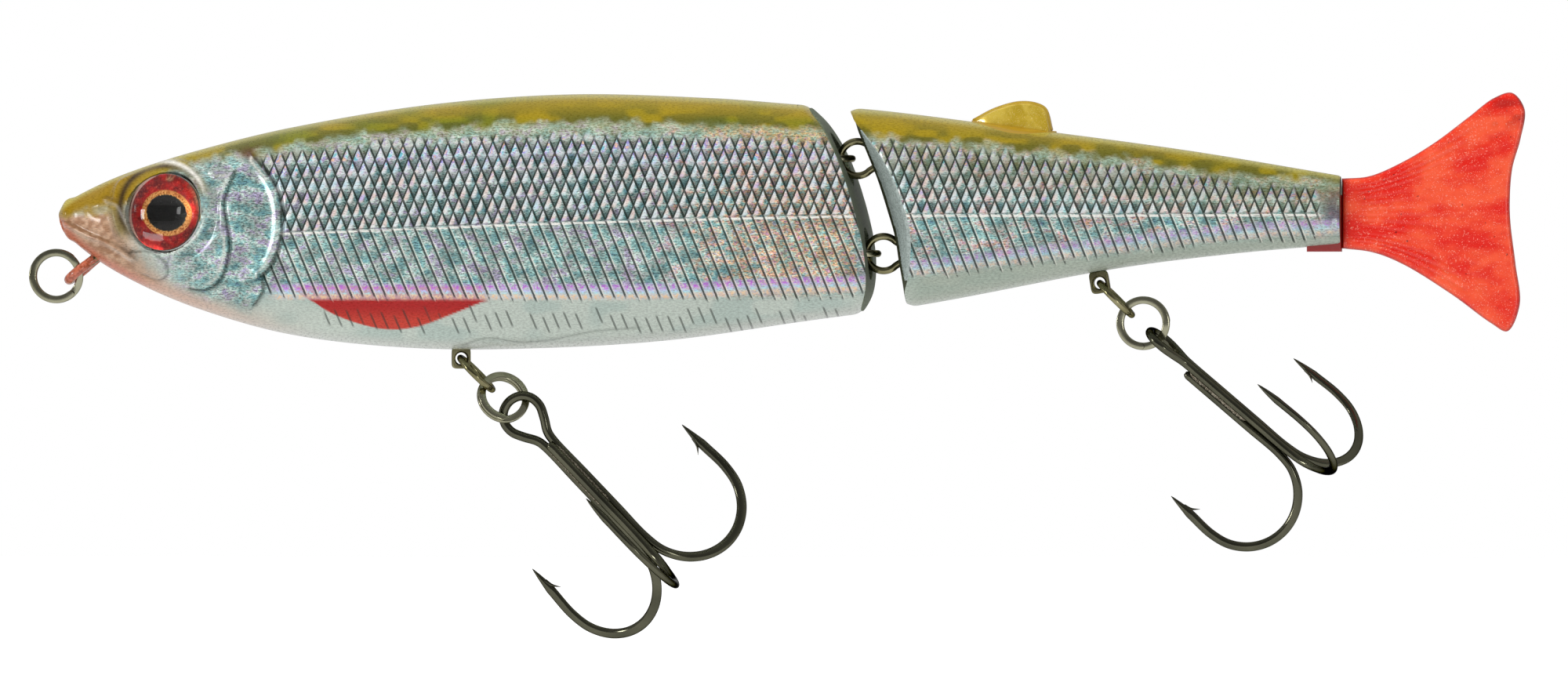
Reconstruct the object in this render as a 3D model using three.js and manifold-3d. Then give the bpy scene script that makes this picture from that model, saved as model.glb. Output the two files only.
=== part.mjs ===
// A two-section jointed swimbait, in millimetres, +Z up, with its nose towards -X.
// Lengths are measured from the nose tip; the outermost group then moves the origin to the line tie.
import * as THREE from "three";
import { mergeVertices } from "three/addons/utils/BufferGeometryUtils.js";
import Module from "manifold-3d";

const wasm = await Module();
wasm.setup();

// ---- driving dimensions ----
const WALL = 1.6;
const SEAM = 0.02; // each shell half stops this far short of the mid-plane
const CLEAR = 0.15; // between a piece and the pocket that holds it
const FAR = 60; // reaches past everything, for cutting shapes

const TAIL_ROOT = 157.6; // where the hard body ends
const FRONT_END = 104; // past the front section's rear face
const REAR_START = 95; // ahead of the rear section's front face
const FRONT_CAVITY = [25, 87.5];
const REAR_CAVITY = [112, 145];
const REAR_BACK_THICKNESS = 4.2; // holds the dorsal fin's tongue

// Outline of the body: [distance from the nose, height] or [distance from the nose, half width].
const BACK_LINE = through([
  [0, 0.8], [3, 2.8], [8.7, 5.3], [17.3, 8], [28.9, 10.8], [46.2, 13.6], [63.5, 14.8],
  [80.9, 14.3], [91.4, 13.5], [101.1, 12.8], [115.5, 11], [138.6, 7.9], [157.6, 4.75],
]);
const BELLY_LINE = through([
  [0, -0.7], [2.9, -4], [8.7, -7.7], [17.3, -11.4], [28.9, -14.6], [43.3, -16.2], [57.8, -16.3],
  [75.1, -15.3], [92.4, -12.9], [106.8, -10.9], [129.9, -6.6], [144.4, -4.75], [157.6, -3.6],
]);
const HALF_WIDTH = through([
  [0, 0.9], [3, 2.7], [8, 5.2], [14, 7.3], [22, 8.9], [35, 9.8], [55, 10.1],
  [75, 9.8], [90, 9.1], [104, 8.4], [118, 7], [135, 5], [150, 3.4], [157.6, 2.7],
]);
const WIDEST = 0.54; // height of the widest point, as a share of the section's height
const SQUARENESS = 2.25; // exponent of the section's superellipse
const SECTION_POINTS = 22;

// The joint's faces, top to bottom: [distance from the nose, height].
const FRONT_FACE = [
  [91.2, 15.5], [92.8, 13.2], [94.5, 11.2], [96, 8.7], [97.1, 6.3], [98.1, 3.4], [99, 0.2],
  [99.7, -3], [100.1, -6.2], [100, -9.3], [99.2, -11.6], [98.2, -13.5],
];
const REAR_FACE = [
  [97, 14], [98.2, 12.3], [99, 10], [100.5, 6.3], [101.4, 4], [102.6, 0.2], [103.4, -2.6],
  [103.9, -5.7], [104.5, -9.3], [104.7, -12],
];
const REAR_BEVEL_START = 4.6; // half width of the rear section's flat front face
const REAR_BEVEL_SLOPE = 0.68; // how fast the bevel falls back towards the flank

// Wire eyes that link the two sections, each as an outer and an inner eye.
const JOINT_WIRE = 0.43; // radius
const JOINT_LOOP = 2.1; // radius of the wire's centre line
const JOINT_LEG = 6.2; // from the loop's centre to the end of its legs
const JOINT_EYES = {
  upper: { front: 97.85, rear: 96.4, z: 6.9 },
  lower: { front: 101, rear: 99.6, z: -4.7 },
};
const EYE_POCKET = 3.1; // radius of the pocket round each front eye
const EYE_POCKET_DEPTH = 3.2; // ahead of the front eye's rearmost wire

const TIE_WIRE = 0.6;
const TIE_LOOP = 1.75;
const TIE_LEG = 13;
const TIE_CENTRE = [2.68, -6.77]; // centre of the line tie's hole
const TIE_DIRECTION = new THREE.Vector3(-0.78, 0, -0.62).normalize();

const EYE_CENTRE = [14.5, 0.2];
const EYE_TILT = { forward: 0.24, up: 0.1 }; // how the eye's axis leans away from sideways
const EYE_SOCKET = { radius: 4.95, floor: 4.7 }; // the floor's distance from the mid-plane
const IRIS = { radius: 4.75, thickness: 0.5 };
const LENS = { radius: 4.75, edge: 0.9, dome: 1.9 };

const SPLIT_WIRE = { radial: 0.46, axial: 0.25, pitch: 0.56 }; // half sizes of the flat wire
const SPLIT_ENDS = 0.12; // how far, in turns, each end stops short of the step
const LINK_WIRE = 0.4;
const LINK_LOOP = 2.75;

const SWIVEL = { eyeRadius: 1.25, eyeHalf: 0.95, holeRadius: 0.72, stem: 0.55, head: 1.15, headHeight: 1.1 };
const BARREL = { radius: 1.95, height: 4.8, bore: 0.75, chamber: 1.4 };

const HOOK = {
  wire: 0.575, bendAt: 16.4, bendRadius: 7.2, pointAt: 9.1, lean: 0.35, taper: 3.4, barbAt: 3.2,
};
const EYE_OUTLINE = [ // half of the treble's eye: [distance above the shank top, half width]
  [0, 0.6], [1.2, 0.85], [2.8, 1.75], [4.2, 2.35], [5.6, 2.25], [6.7, 1.4], [7.12, 0],
];

const TAIL_THICKNESS = 1.5;
const TAIL_TONGUE = { front: 153.5, top: 2.4, bottom: -4.5 };
const DORSAL_THICKNESS = 2.4;

const CHAINS = {
  belly: {
    hole: [49.75, -17.5], shaft: [0, -1], yaw: 9, linkPlay: 0.1,
    split: { centre: [54.94, -22.28], radius: 2.82, tilt: -36 },
    treble: { top: [60.62, -27.91], direction: [0.692, -0.722], roll: 0, scale: 1 },
  },
  rear: {
    hole: [128.2, -8.3], shaft: [0.17, -0.985], yaw: 0, linkPlay: 0,
    split: { centre: [133.5, -13.2], radius: 2.82, tilt: 0 },
    treble: { top: [139.3, -18.45], direction: [0.76, -0.65], roll: -100, scale: 0.915 },
  },
};
const LINK_DIRECTION = new THREE.Vector3(Math.SQRT1_2, 0, -Math.SQRT1_2);

// ---- materials ----
const finish = (color, roughness, metalness, extra = {}) =>
  new THREE.MeshStandardMaterial({ color, roughness, metalness, ...extra });
const FOIL = finish(0xaeb9b4, 0.25, 0.55);
const IRIS_RED = finish(0x8e1e14, 0.35, 0.3);
const CLEAR_LENS = finish(0xe8eef0, 0.05, 0, { transparent: true, opacity: 0.35 });
const ORANGE_PAINT = finish(0xc9674a, 0.4, 0.2);
const AGED_BRONZE = finish(0x6e6238, 0.3, 0.95);
const BLACK_NICKEL = finish(0x3a3a34, 0.22, 0.95);
const LEAD = finish(0x5c6066, 0.7, 0.8);
const GOLD_PEARL = finish(0xb08a25, 0.35, 0.5);
const RED_PVC = finish(0xe6402f, 0.3, 0);

// ---- shape helpers ----
const at = (x, y, z) => new THREE.Vector3(x, y, z);
const inPlane = ([x, z]) => at(x, 0, z);

// A smooth function of x through [x, value] points.
function through(points) {
  const slope = (i) => {
    const before = points[Math.max(i - 1, 0)];
    const after = points[Math.min(i + 1, points.length - 1)];
    return (after[1] - before[1]) / (after[0] - before[0]);
  };
  return (x) => {
    let i = 0;
    while (i < points.length - 2 && x > points[i + 1][0]) i++;
    const [x0, y0] = points[i];
    const [x1, y1] = points[i + 1];
    const h = x1 - x0;
    const t = THREE.MathUtils.clamp((x - x0) / h, 0, 1);
    const ease = t * t * (3 - 2 * t);
    return y0 + (y1 - y0) * ease + h * slope(i) * t * (1 - t) ** 2 - h * slope(i + 1) * t * t * (1 - t);
  };
}

// A closed skin over rings of points, all with the same number of points; its ends are fans.
function loft(rings) {
  const n = rings[0].length;
  const points = rings.flat();
  const faces = [];
  for (let i = 0; i < rings.length - 1; i++) {
    for (let j = 0; j < n; j++) {
      const a = i * n + j;
      const b = i * n + ((j + 1) % n);
      faces.push(a, b, a + n, b, b + n, a + n);
    }
  }
  [0, rings.length - 1].forEach((end) => {
    const centre = rings[end].reduce((sum, p) => sum.clone().add(p), at(0, 0, 0)).divideScalar(n);
    const hub = points.push(centre) - 1;
    for (let j = 0; j < n; j++) {
      const a = end * n + j;
      const b = end * n + ((j + 1) % n);
      faces.push(...(end === 0 ? [hub, b, a] : [hub, a, b]));
    }
  });
  const volume = faces.reduce((sum, _, k) => {
    if (k % 3) return sum;
    const [a, b, c] = [points[faces[k]], points[faces[k + 1]], points[faces[k + 2]]];
    return sum + a.dot(b.clone().cross(c));
  }, 0);
  if (volume < 0) faces.reverse();
  return new THREE.BufferGeometry().setFromPoints(points).setIndex(faces);
}

// A round wire along a curve; thickness gives its radius at each distance from the start.
function wire(curve, steps, thickness, sides = 6) {
  const frames = curve.computeFrenetFrames(steps, false);
  const length = curve.getLength();
  const rings = [];
  for (let i = 0; i <= steps; i++) {
    const centre = curve.getPointAt(i / steps);
    const radius = thickness((i / steps) * length, length);
    const ring = [];
    for (let j = 0; j < sides; j++) {
      const angle = (j / sides) * 2 * Math.PI;
      const out = frames.normals[i].clone().multiplyScalar(Math.cos(angle));
      out.addScaledVector(frames.binormals[i], Math.sin(angle));
      ring.push(centre.clone().addScaledVector(out, radius));
    }
    rings.push(ring);
  }
  return loft(rings);
}

// An upright plate whose outline lies in the XZ plane.
function plate(outline, thickness) {
  const shape = new THREE.Shape(outline.map(([x, z]) => new THREE.Vector2(x, z)));
  const geometry = new THREE.ExtrudeGeometry(shape, { depth: thickness, bevelEnabled: false });
  return geometry.translate(0, 0, -thickness / 2).rotateX(Math.PI / 2);
}

// A cylinder from one point to another.
function rod(from, to, radius, sides = 20, tip = radius) {
  const axis = to.clone().sub(from);
  const geometry = new THREE.CylinderGeometry(tip, radius, axis.length(), sides);
  geometry.translate(0, axis.length() / 2, 0);
  geometry.applyQuaternion(new THREE.Quaternion().setFromUnitVectors(at(0, 1, 0), axis.normalize()));
  return geometry.translate(from.x, from.y, from.z);
}

function box([x0, x1], [y0, y1], [z0, z1]) {
  const geometry = new THREE.BoxGeometry(x1 - x0, y1 - y0, z1 - z0);
  return geometry.translate((x0 + x1) / 2, (y0 + y1) / 2, (z0 + z1) / 2);
}

// ---- joining and cutting ----
function solid(geometry) {
  const bare = new THREE.BufferGeometry();
  const flat = geometry.index ? geometry.toNonIndexed() : geometry;
  bare.setAttribute("position", flat.getAttribute("position").clone());
  const merged = mergeVertices(bare, 1e-4);
  const vertProperties = merged.attributes.position.array;
  const triVerts = new Uint32Array(merged.index.array);
  return new wasm.Manifold(new wasm.Mesh({ numProp: 3, vertProperties, triVerts }));
}

function geometryOf(shape) {
  const mesh = shape.getMesh();
  const geometry = new THREE.BufferGeometry();
  geometry.setAttribute("position", new THREE.BufferAttribute(mesh.vertProperties, 3));
  return geometry.setIndex(new THREE.BufferAttribute(mesh.triVerts, 1));
}

const join = (first, ...rest) => rest.reduce((sum, g) => sum.add(solid(g)), first);
const cut = (first, ...rest) => rest.reduce((sum, g) => sum.subtract(solid(g)), first);

// ---- the body ----
function section(x, inset = 0, backInset = inset) {
  const top = BACK_LINE(x) - backInset;
  const bottom = BELLY_LINE(x) + inset;
  const middle = bottom + (top - bottom) * WIDEST;
  const width = HALF_WIDTH(x) - inset;
  const power = 2 / SQUARENESS;
  const ring = [];
  for (let i = 0; i < SECTION_POINTS; i++) {
    const angle = ((i + 0.5) / SECTION_POINTS) * 2 * Math.PI;
    const [c, s] = [Math.cos(angle), Math.sin(angle)];
    const y = width * Math.sign(c) * Math.abs(c) ** power;
    const reach = s > 0 ? top - middle : middle - bottom;
    ring.push(at(x, y, middle + reach * Math.sign(s) * Math.abs(s) ** power));
  }
  return ring;
}

function bodyBetween(start, end, steps, inset, backInset) {
  const rings = [];
  for (let i = 0; i <= steps; i++) {
    rings.push(section(start + ((end - start) * i) / steps, inset, backInset));
  }
  return rings;
}

// Everything on one side of a joint face; bevel moves the face back by a function of y.
function beyondFace(face, farX, bevel, levels) {
  const outline = [...face, [farX, -FAR], [farX, FAR]];
  return loft(
    levels.map((y) => outline.map(([x, z], i) => at(i < face.length ? x + bevel(Math.abs(y)) : x, y, z))),
  );
}

const rearBevel = (y) => Math.max(0, y - REAR_BEVEL_START) * REAR_BEVEL_SLOPE;
const NOSE_STATIONS = [0, 0.7, 1.6, 3, 5, 8];

function frontOuter() {
  const rings = [...NOSE_STATIONS.map((x) => section(x)), ...bodyBetween(11, FRONT_END, 16)];
  return solid(loft(rings)).intersect(solid(beyondFace(FRONT_FACE, -FAR, () => 0, [-FAR, FAR])));
}

function rearOuter() {
  const whole = solid(loft(bodyBetween(REAR_START, TAIL_ROOT, 11)));
  const levels = [-FAR / 2, -REAR_BEVEL_START, REAR_BEVEL_START, FAR / 2];
  return whole.intersect(solid(beyondFace(REAR_FACE, 4 * FAR, rearBevel, levels)));
}

// Posts that locate one shell half on the other, each with a pin on the right half.
const POST = { radius: 1.7, pin: 0.8, reach: 1.6, root: 2 };
const FRONT_POSTS = [[30, 4], [52, 6], [80, 5]];
const REAR_POSTS = [[116, 3.2], [141, 1.2]];

function posts(places, side) {
  return places.map(([x, z]) => rod(at(x, 0, z), at(x, side * FAR, z), POST.radius, 10));
}

function pins(places, radius, reach) {
  return places.map(([x, z]) => rod(at(x, -reach, z), at(x, POST.root, z), radius, 8));
}

// One half of a hollow section: side is -1 for the left half and +1 for the right one.
function shellHalf(outer, cavity, bosses, places, pockets, side) {
  const solids = [...posts(places, side), ...bosses].reduce((sum, g) => sum.add(solid(g)), solid(bosses[0]));
  const walls = outer.subtract(solid(cavity)).add(solids.intersect(outer));
  const half = side < 0 ? [-FAR, -SEAM] : [SEAM, FAR];
  let shell = cut(walls.intersect(solid(box([-FAR, 4 * FAR], half, [-FAR, FAR]))), ...pockets);
  if (side > 0) shell = join(shell, ...pins(places, POST.pin, POST.reach));
  else shell = cut(shell, ...pins(places, POST.pin + CLEAR, POST.reach + CLEAR));
  return geometryOf(shell);
}

// ---- wire eyes ----
const LEG_GAP = 0.25; // half the gap between an eye's two legs
const NECK = 1.45; // from the loop's centre to where the legs close up, over the loop's radius
const EYE_STEPS = 26;

// The centre line of an eye: from one leg's end, round the loop and back along the other leg.
function eyeCurve(centre, axis, across, loop, pinch, leg) {
  const half = [[-leg, pinch], [-(leg + loop * NECK) / 2, pinch], [-loop * NECK, pinch]];
  for (let angle = 140; angle >= 0; angle -= 35) {
    const turn = THREE.MathUtils.degToRad(angle);
    half.push([loop * Math.cos(turn), loop * Math.sin(turn)]);
  }
  const other = half.slice(0, -1).reverse().map(([a, b]) => [a, -b]);
  const points = [...half, ...other].map(([a, b]) =>
    centre.clone().addScaledVector(axis, a).addScaledVector(across, b),
  );
  return new THREE.CatmullRomCurve3(points, false, "centripetal");
}

function wireEye(centre, axis, across, loop, radius, leg, extra = 0) {
  const curve = eyeCurve(centre, axis, across, loop, radius + LEG_GAP, leg + extra);
  return wire(curve, EYE_STEPS, () => radius + extra);
}

const sideways = at(0, 1, 0);
const upwards = at(0, 0, 1);
const rearwards = at(1, 0, 0);
const forwards = at(-1, 0, 0);

const lineTie = (extra) =>
  wireEye(inPlane(TIE_CENTRE), TIE_DIRECTION, sideways, TIE_LOOP, TIE_WIRE, TIE_LEG, extra);
const frontJointEye = ({ front, z }, extra) =>
  wireEye(at(front - JOINT_LOOP, 0, z), rearwards, sideways, JOINT_LOOP, JOINT_WIRE, JOINT_LEG, extra);
const rearJointEye = ({ rear, z }, extra) =>
  wireEye(at(rear + JOINT_LOOP, 0, z), forwards, upwards, JOINT_LOOP, JOINT_WIRE, JOINT_LEG, extra);

// ---- eyes ----
const EYE_SIDES = 28;
const IRIS_OUT = 0.4; // the iris disc's middle and the lens's flat back, out from the socket's floor
const LENS_OUT = 0.85;

// A direction out of the head along the eye's axis, for the left (-1) or right (+1) side.
const eyeAxis = (side) => at(-EYE_TILT.forward, side, EYE_TILT.up).normalize();
const eyeSpot = (side, out) =>
  at(EYE_CENTRE[0], side * EYE_SOCKET.floor, EYE_CENTRE[1]).addScaledVector(eyeAxis(side), out);
const eyeSocket = (side) => rod(eyeSpot(side, 0), eyeSpot(side, FAR / 3), EYE_SOCKET.radius, EYE_SIDES);

function onEyeAxis(geometry, side, out) {
  geometry.applyQuaternion(new THREE.Quaternion().setFromUnitVectors(at(0, 1, 0), eyeAxis(side)));
  const spot = eyeSpot(side, out);
  return geometry.translate(spot.x, spot.y, spot.z);
}

function irisDisc(side) {
  const disc = new THREE.CylinderGeometry(IRIS.radius, IRIS.radius, IRIS.thickness, EYE_SIDES);
  return onEyeAxis(disc, side, IRIS_OUT);
}

function lensDome(side) {
  const profile = [new THREE.Vector2(0, 0), new THREE.Vector2(LENS.radius, 0)];
  for (let angle = 0; angle <= 90; angle += 18) {
    const turn = THREE.MathUtils.degToRad(angle);
    profile.push(new THREE.Vector2(LENS.radius * Math.cos(turn), LENS.edge + LENS.dome * Math.sin(turn)));
  }
  profile[profile.length - 1].x = 0;
  return onEyeAxis(new THREE.LatheGeometry(profile, EYE_SIDES), side, LENS_OUT);
}

// ---- rings, swivels and trebles ----
// Two flat turns of wire side by side, stepping from one to the other half way; its axis is local Z.
function splitRing(radius) {
  const perTurn = 18;
  const rings = [];
  const { radial, axial, pitch } = SPLIT_WIRE;
  for (let i = 0; i <= 2 * perTurn; i++) {
    const turn = SPLIT_ENDS + (i / (2 * perTurn)) * (2 - 2 * SPLIT_ENDS);
    const step = THREE.MathUtils.smoothstep(turn, 1 - SPLIT_ENDS, 1 + SPLIT_ENDS) - 0.5;
    const [c, s] = [Math.cos(turn * 2 * Math.PI), Math.sin(turn * 2 * Math.PI)];
    const corners = [[1, 1], [-1, 1], [-1, -1], [1, -1]];
    rings.push(corners.map(([r, a]) => {
      const reach = radius + r * radial;
      return at(c * reach, s * reach, step * pitch + a * axial);
    }));
  }
  return loft(rings);
}

const BARREL_LIP = 1.2; // the barrel's wall at its two ends

function barrel() {
  const { radius, height, bore, chamber } = BARREL;
  const ceiling = height - BARREL_LIP;
  const outside = [[bore, 0], [radius, 0], [radius, height], [0, height]];
  const inside = [[0, ceiling], [chamber, ceiling], [chamber, BARREL_LIP], [bore, BARREL_LIP], [bore, 0]];
  const profile = [...outside, ...inside];
  return new THREE.LatheGeometry(profile.map(([r, h]) => new THREE.Vector2(r, h)), 20);
}

const SHOULDER = { half: 0.95, gap: 0.25 }; // the block above the eye, and its gap to the barrel
const HEAD_GAP = 1.6; // from the barrel's mouth up to the head
const OVERLAP = 0.01;

// The turning part of a swivel: a drilled eye below, a stem and a head above.
// Its hole is at the local origin.
function swivelEye(mouth) {
  const { eyeRadius, eyeHalf, holeRadius, stem, head, headHeight } = SWIVEL;
  const headAt = mouth + HEAD_GAP;
  const width = [-SHOULDER.half, SHOULDER.half];
  const eye = solid(rod(at(0, -eyeHalf, 0), at(0, eyeHalf, 0), eyeRadius, 20));
  const shoulder = box(width, [-eyeHalf, eyeHalf], [0, mouth - SHOULDER.gap]);
  const shaft = rod(at(0, 0, stem), at(0, 0, headAt), stem, 12);
  const flange = rod(at(0, 0, headAt - OVERLAP), at(0, 0, headAt + headHeight), head, 16);
  const whole = join(eye, shoulder, shaft, flange);
  return geometryOf(cut(whole, rod(at(0, -FAR, 0), at(0, FAR, 0), holeRadius, 16)));
}

// A hook's centre line from the shank's top to its point: [distance down the shank, distance out].
function hookLine(scale) {
  const { bendAt, bendRadius, pointAt, lean } = HOOK;
  const line = [[0, 0], [bendAt * 0.35, 0], [bendAt * 0.7, 0]];
  for (let angle = -90; angle <= 90; angle += 22.5) {
    const turn = THREE.MathUtils.degToRad(angle);
    line.push([bendAt + bendRadius * Math.cos(turn), bendRadius * (1 + Math.sin(turn))]);
  }
  line.push([(bendAt + pointAt) / 2, 2 * bendRadius - lean / 2], [pointAt, 2 * bendRadius - lean]);
  return line.map(([along, out]) => [along * scale, out * scale]);
}

const taperTo = (distance, scale) => HOOK.wire * scale * Math.min(1, 0.08 + 0.92 * (distance / HOOK.taper));

const BARB = { half: 0.9, lift: 0.65, root: 0.28, tip: 0.02 };

// A barb: a small spur that leans back from the point, towards the shank.
function barb(leg, out, scale) {
  const { bendRadius, pointAt, barbAt, wire: radius, lean } = HOOK;
  const spot = (along, away) => leg.clone().addScaledVector(out, away * scale).add(at(0, 0, along * scale));
  const height = 2 * bendRadius - lean;
  const root = spot(pointAt + barbAt - BARB.half, height);
  const end = spot(pointAt + barbAt + BARB.half, height - radius - BARB.lift);
  return rod(root, end, BARB.root, 6, BARB.tip);
}

// Local frame of a treble: Z runs down the double hook's shank, X points where the single hook points.
const legSpread = HOOK.wire + 0.05;
const singleOut = HOOK.wire * 1.88;
const HOOK_STEPS = { double: 74, single: 32 };

function trebleDouble(scale) {
  const sides = [1, -1].map((side) => ({
    leg: at(0, side * legSpread, 0),
    out: at(Math.cos((2 * Math.PI) / 3), side * Math.sin((2 * Math.PI) / 3), 0),
  }));
  const hooks = sides.map(({ leg, out }) =>
    hookLine(scale).map(([along, away]) => leg.clone().addScaledVector(out, away).add(at(0, 0, along))),
  );
  const half = (side) =>
    EYE_OUTLINE.slice(1).map(([up, width]) => at(0, side * width * scale, -up * scale));
  const eye = [...half(1), ...half(-1).reverse().slice(1)];
  const curve = new THREE.CatmullRomCurve3([...hooks[0].reverse(), ...eye, ...hooks[1]], false, "centripetal");
  const body = wire(curve, HOOK_STEPS.double, (d, length) => taperTo(Math.min(d, length - d), scale));
  return geometryOf(join(solid(body), ...sides.map(({ leg, out }) => barb(leg, out, scale))));
}

function trebleSingle(scale) {
  const leg = at(singleOut, 0, 0);
  const points = hookLine(scale).map(([along, away]) => leg.clone().add(at(away, 0, along)));
  const curve = new THREE.CatmullRomCurve3(points, false, "centripetal");
  const body = wire(curve, HOOK_STEPS.single, (d, length) => taperTo(length - d, scale));
  return geometryOf(join(solid(body), barb(leg, at(1, 0, 0), scale)));
}

// ---- fins ----
const TAIL_OUTLINE = [
  [161.1, 4.7], [165.1, 6.4], [169.1, 8.8], [173.1, 11.8], [176.3, 14.2], [178.5, 14.8], [180, 12.8],
  [179.5, 9.2], [178.5, 5.6], [178.2, 1.6], [178.3, -1.2], [178.9, -6], [179.4, -11], [177.9, -14.2],
  [175.9, -13.2], [171.1, -9.7], [165.1, -6], [161.5, -4.6],
];
const TAIL_ROOT_HEIGHTS = [4.4, -4.1];
const DORSAL_OUTLINE = [[112.6, 11.7], [118.3, 13.9], [120.5, 13.7], [121.7, 13], [122.5, 10.4]];
const DORSAL_TONGUE = { front: 113.6, rear: 121.6, bottom: 8.6 };
const DORSAL_SLOT = { ahead: 1.4, behind: 1.2, height: 8 };
const TAIL_SLOT_BELOW = 2;

function tailFin() {
  const { front, top, bottom } = TAIL_TONGUE;
  const root = TAIL_ROOT + CLEAR;
  const [high, low] = TAIL_ROOT_HEIGHTS;
  const tongue = [[root, bottom], [front, bottom], [front, top], [root, top]];
  return plate([[root, high], ...TAIL_OUTLINE, [root, low], ...tongue], TAIL_THICKNESS);
}

function tailSlot() {
  const { front, top, bottom } = TAIL_TONGUE;
  const half = TAIL_THICKNESS / 2 + CLEAR;
  return box([front - CLEAR, TAIL_ROOT + 1], [-half, half], [bottom - TAIL_SLOT_BELOW, top + CLEAR]);
}

// The fin above the back and its tongue in the slot below.
function dorsalFin() {
  const { front, rear, bottom } = DORSAL_TONGUE;
  const frontHeight = DORSAL_OUTLINE[0][1];
  const rearHeight = DORSAL_OUTLINE[DORSAL_OUTLINE.length - 1][1];
  const tongue = [[rear, rearHeight], [rear, bottom], [front, bottom], [front, frontHeight]];
  return plate([...DORSAL_OUTLINE, ...tongue], DORSAL_THICKNESS);
}

function dorsalSlot() {
  const { front, rear, bottom } = DORSAL_TONGUE;
  const half = DORSAL_THICKNESS / 2 + CLEAR;
  const { ahead, behind, height } = DORSAL_SLOT;
  return box([front - ahead, rear + behind], [-half, half], [bottom - CLEAR, bottom + height]);
}

// ---- ballast ----
const BALLAST_GAP = 0.25;
const FRONT_BALLAST = { ends: [57, 76], top: -10.5 };
const REAR_BALLAST = { ends: [114, 123], top: -4.2 };

function ballast({ ends: [start, end], top }, backInset) {
  const fit = WALL + BALLAST_GAP;
  const body = solid(loft(bodyBetween(start, end, 6, fit, backInset)));
  return geometryOf(body.intersect(solid(box([start - 1, end + 1], [-FAR, FAR], [-FAR, top]))));
}

// ---- assembly ----
const lure = new THREE.Group();
lure.position.set(-TIE_CENTRE[0], 0, -TIE_CENTRE[1]);

function piece(name, geometry, material, parent = lure) {
  const mesh = new THREE.Mesh(geometry, material.clone());
  mesh.name = name;
  parent.add(mesh);
  return mesh;
}

// A group whose local X, Y and Z axes point along the given directions.
function framed(origin, x, y, z) {
  const group = new THREE.Group();
  group.position.copy(origin);
  group.quaternion.setFromRotationMatrix(new THREE.Matrix4().makeBasis(x, y, z));
  lure.add(group);
  return group;
}

// The frame of a chain's swivel: its hole at the origin, with local Z up the shaft into the body.
function swivelFrame({ hole, shaft, yaw }) {
  const up = inPlane(shaft).normalize().negate();
  const y = sideways.clone().applyAxisAngle(up, THREE.MathUtils.degToRad(yaw));
  return { up, y, x: y.clone().cross(up), origin: inPlane(hole) };
}

const BARREL_MOUTH = 1.75; // from the swivel's hole up to the barrel
const MOUTH = { radius: 2.1, below: 2 }; // the hollow in the body round the eye

// A cylinder on a swivel's shaft, between two heights above its hole.
function onShaft(chain, low, high, radius) {
  const { up, origin } = swivelFrame(chain);
  const along = (height) => origin.clone().addScaledVector(up, height);
  return rod(along(low), along(high), radius, 20);
}

const barrelSpace = (chain, extra) =>
  onShaft(chain, BARREL_MOUTH - extra, BARREL_MOUTH + BARREL.height + extra, BARREL.radius + extra);
const mouthCut = (chain) => onShaft(chain, -MOUTH.below, BARREL_MOUTH, MOUTH.radius);

function addShells() {
  const frontCavity = loft(bodyBetween(...FRONT_CAVITY, 9, WALL));
  const rearCavity = loft(bodyBetween(...REAR_CAVITY, 5, WALL, REAR_BACK_THICKNESS));
  const eyes = Object.values(JOINT_EYES);
  const eyePockets = eyes.map(({ front, z }) =>
    rod(at(front - EYE_POCKET_DEPTH, 0, z), at(FAR * 2, 0, z), EYE_POCKET, 18),
  );
  const frontPockets = [
    lineTie(CLEAR), ...eyes.map((eye) => frontJointEye(eye, CLEAR)), ...eyePockets,
    eyeSocket(-1), eyeSocket(1), barrelSpace(CHAINS.belly, CLEAR), mouthCut(CHAINS.belly),
  ];
  const rearPockets = [
    ...eyes.map((eye) => rearJointEye(eye, CLEAR)), barrelSpace(CHAINS.rear, CLEAR), mouthCut(CHAINS.rear),
    tailSlot(), dorsalSlot(),
  ];
  const boss = (chain) => barrelSpace(chain, WALL);
  [["left", -1], ["right", 1]].forEach(([name, side]) => {
    const front = shellHalf(frontOuter(), frontCavity, [boss(CHAINS.belly)], FRONT_POSTS, frontPockets, side);
    piece(`front_shell_${name}`, front, FOIL);
    const rear = shellHalf(rearOuter(), rearCavity, [boss(CHAINS.rear)], REAR_POSTS, rearPockets, side);
    piece(`rear_shell_${name}`, rear, FOIL);
    piece(`iris_disc_${name}`, irisDisc(side), IRIS_RED);
    piece(`eye_lens_${name}`, lensDome(side), CLEAR_LENS);
  });
}

function addWiresAndFins() {
  piece("line_tie", lineTie(0), ORANGE_PAINT);
  Object.entries(JOINT_EYES).forEach(([level, eye]) => {
    piece(`front_joint_eye_${level}`, frontJointEye(eye, 0), AGED_BRONZE);
    piece(`rear_joint_eye_${level}`, rearJointEye(eye, 0), AGED_BRONZE);
  });
  piece("front_ballast", ballast(FRONT_BALLAST), LEAD);
  piece("rear_ballast", ballast(REAR_BALLAST, REAR_BACK_THICKNESS), LEAD);
  piece("dorsal_fin", dorsalFin(), GOLD_PEARL);
  piece("tail_fin", tailFin(), RED_PVC);
}

const NOSE_RING = { centre: [-0.3, -7.4], radius: 2.88 };

function addNoseRing() {
  const frame = framed(inPlane(NOSE_RING.centre), rearwards, upwards, sideways.clone().negate());
  piece("nose_ring", splitRing(NOSE_RING.radius), AGED_BRONZE, frame);
}

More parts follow.
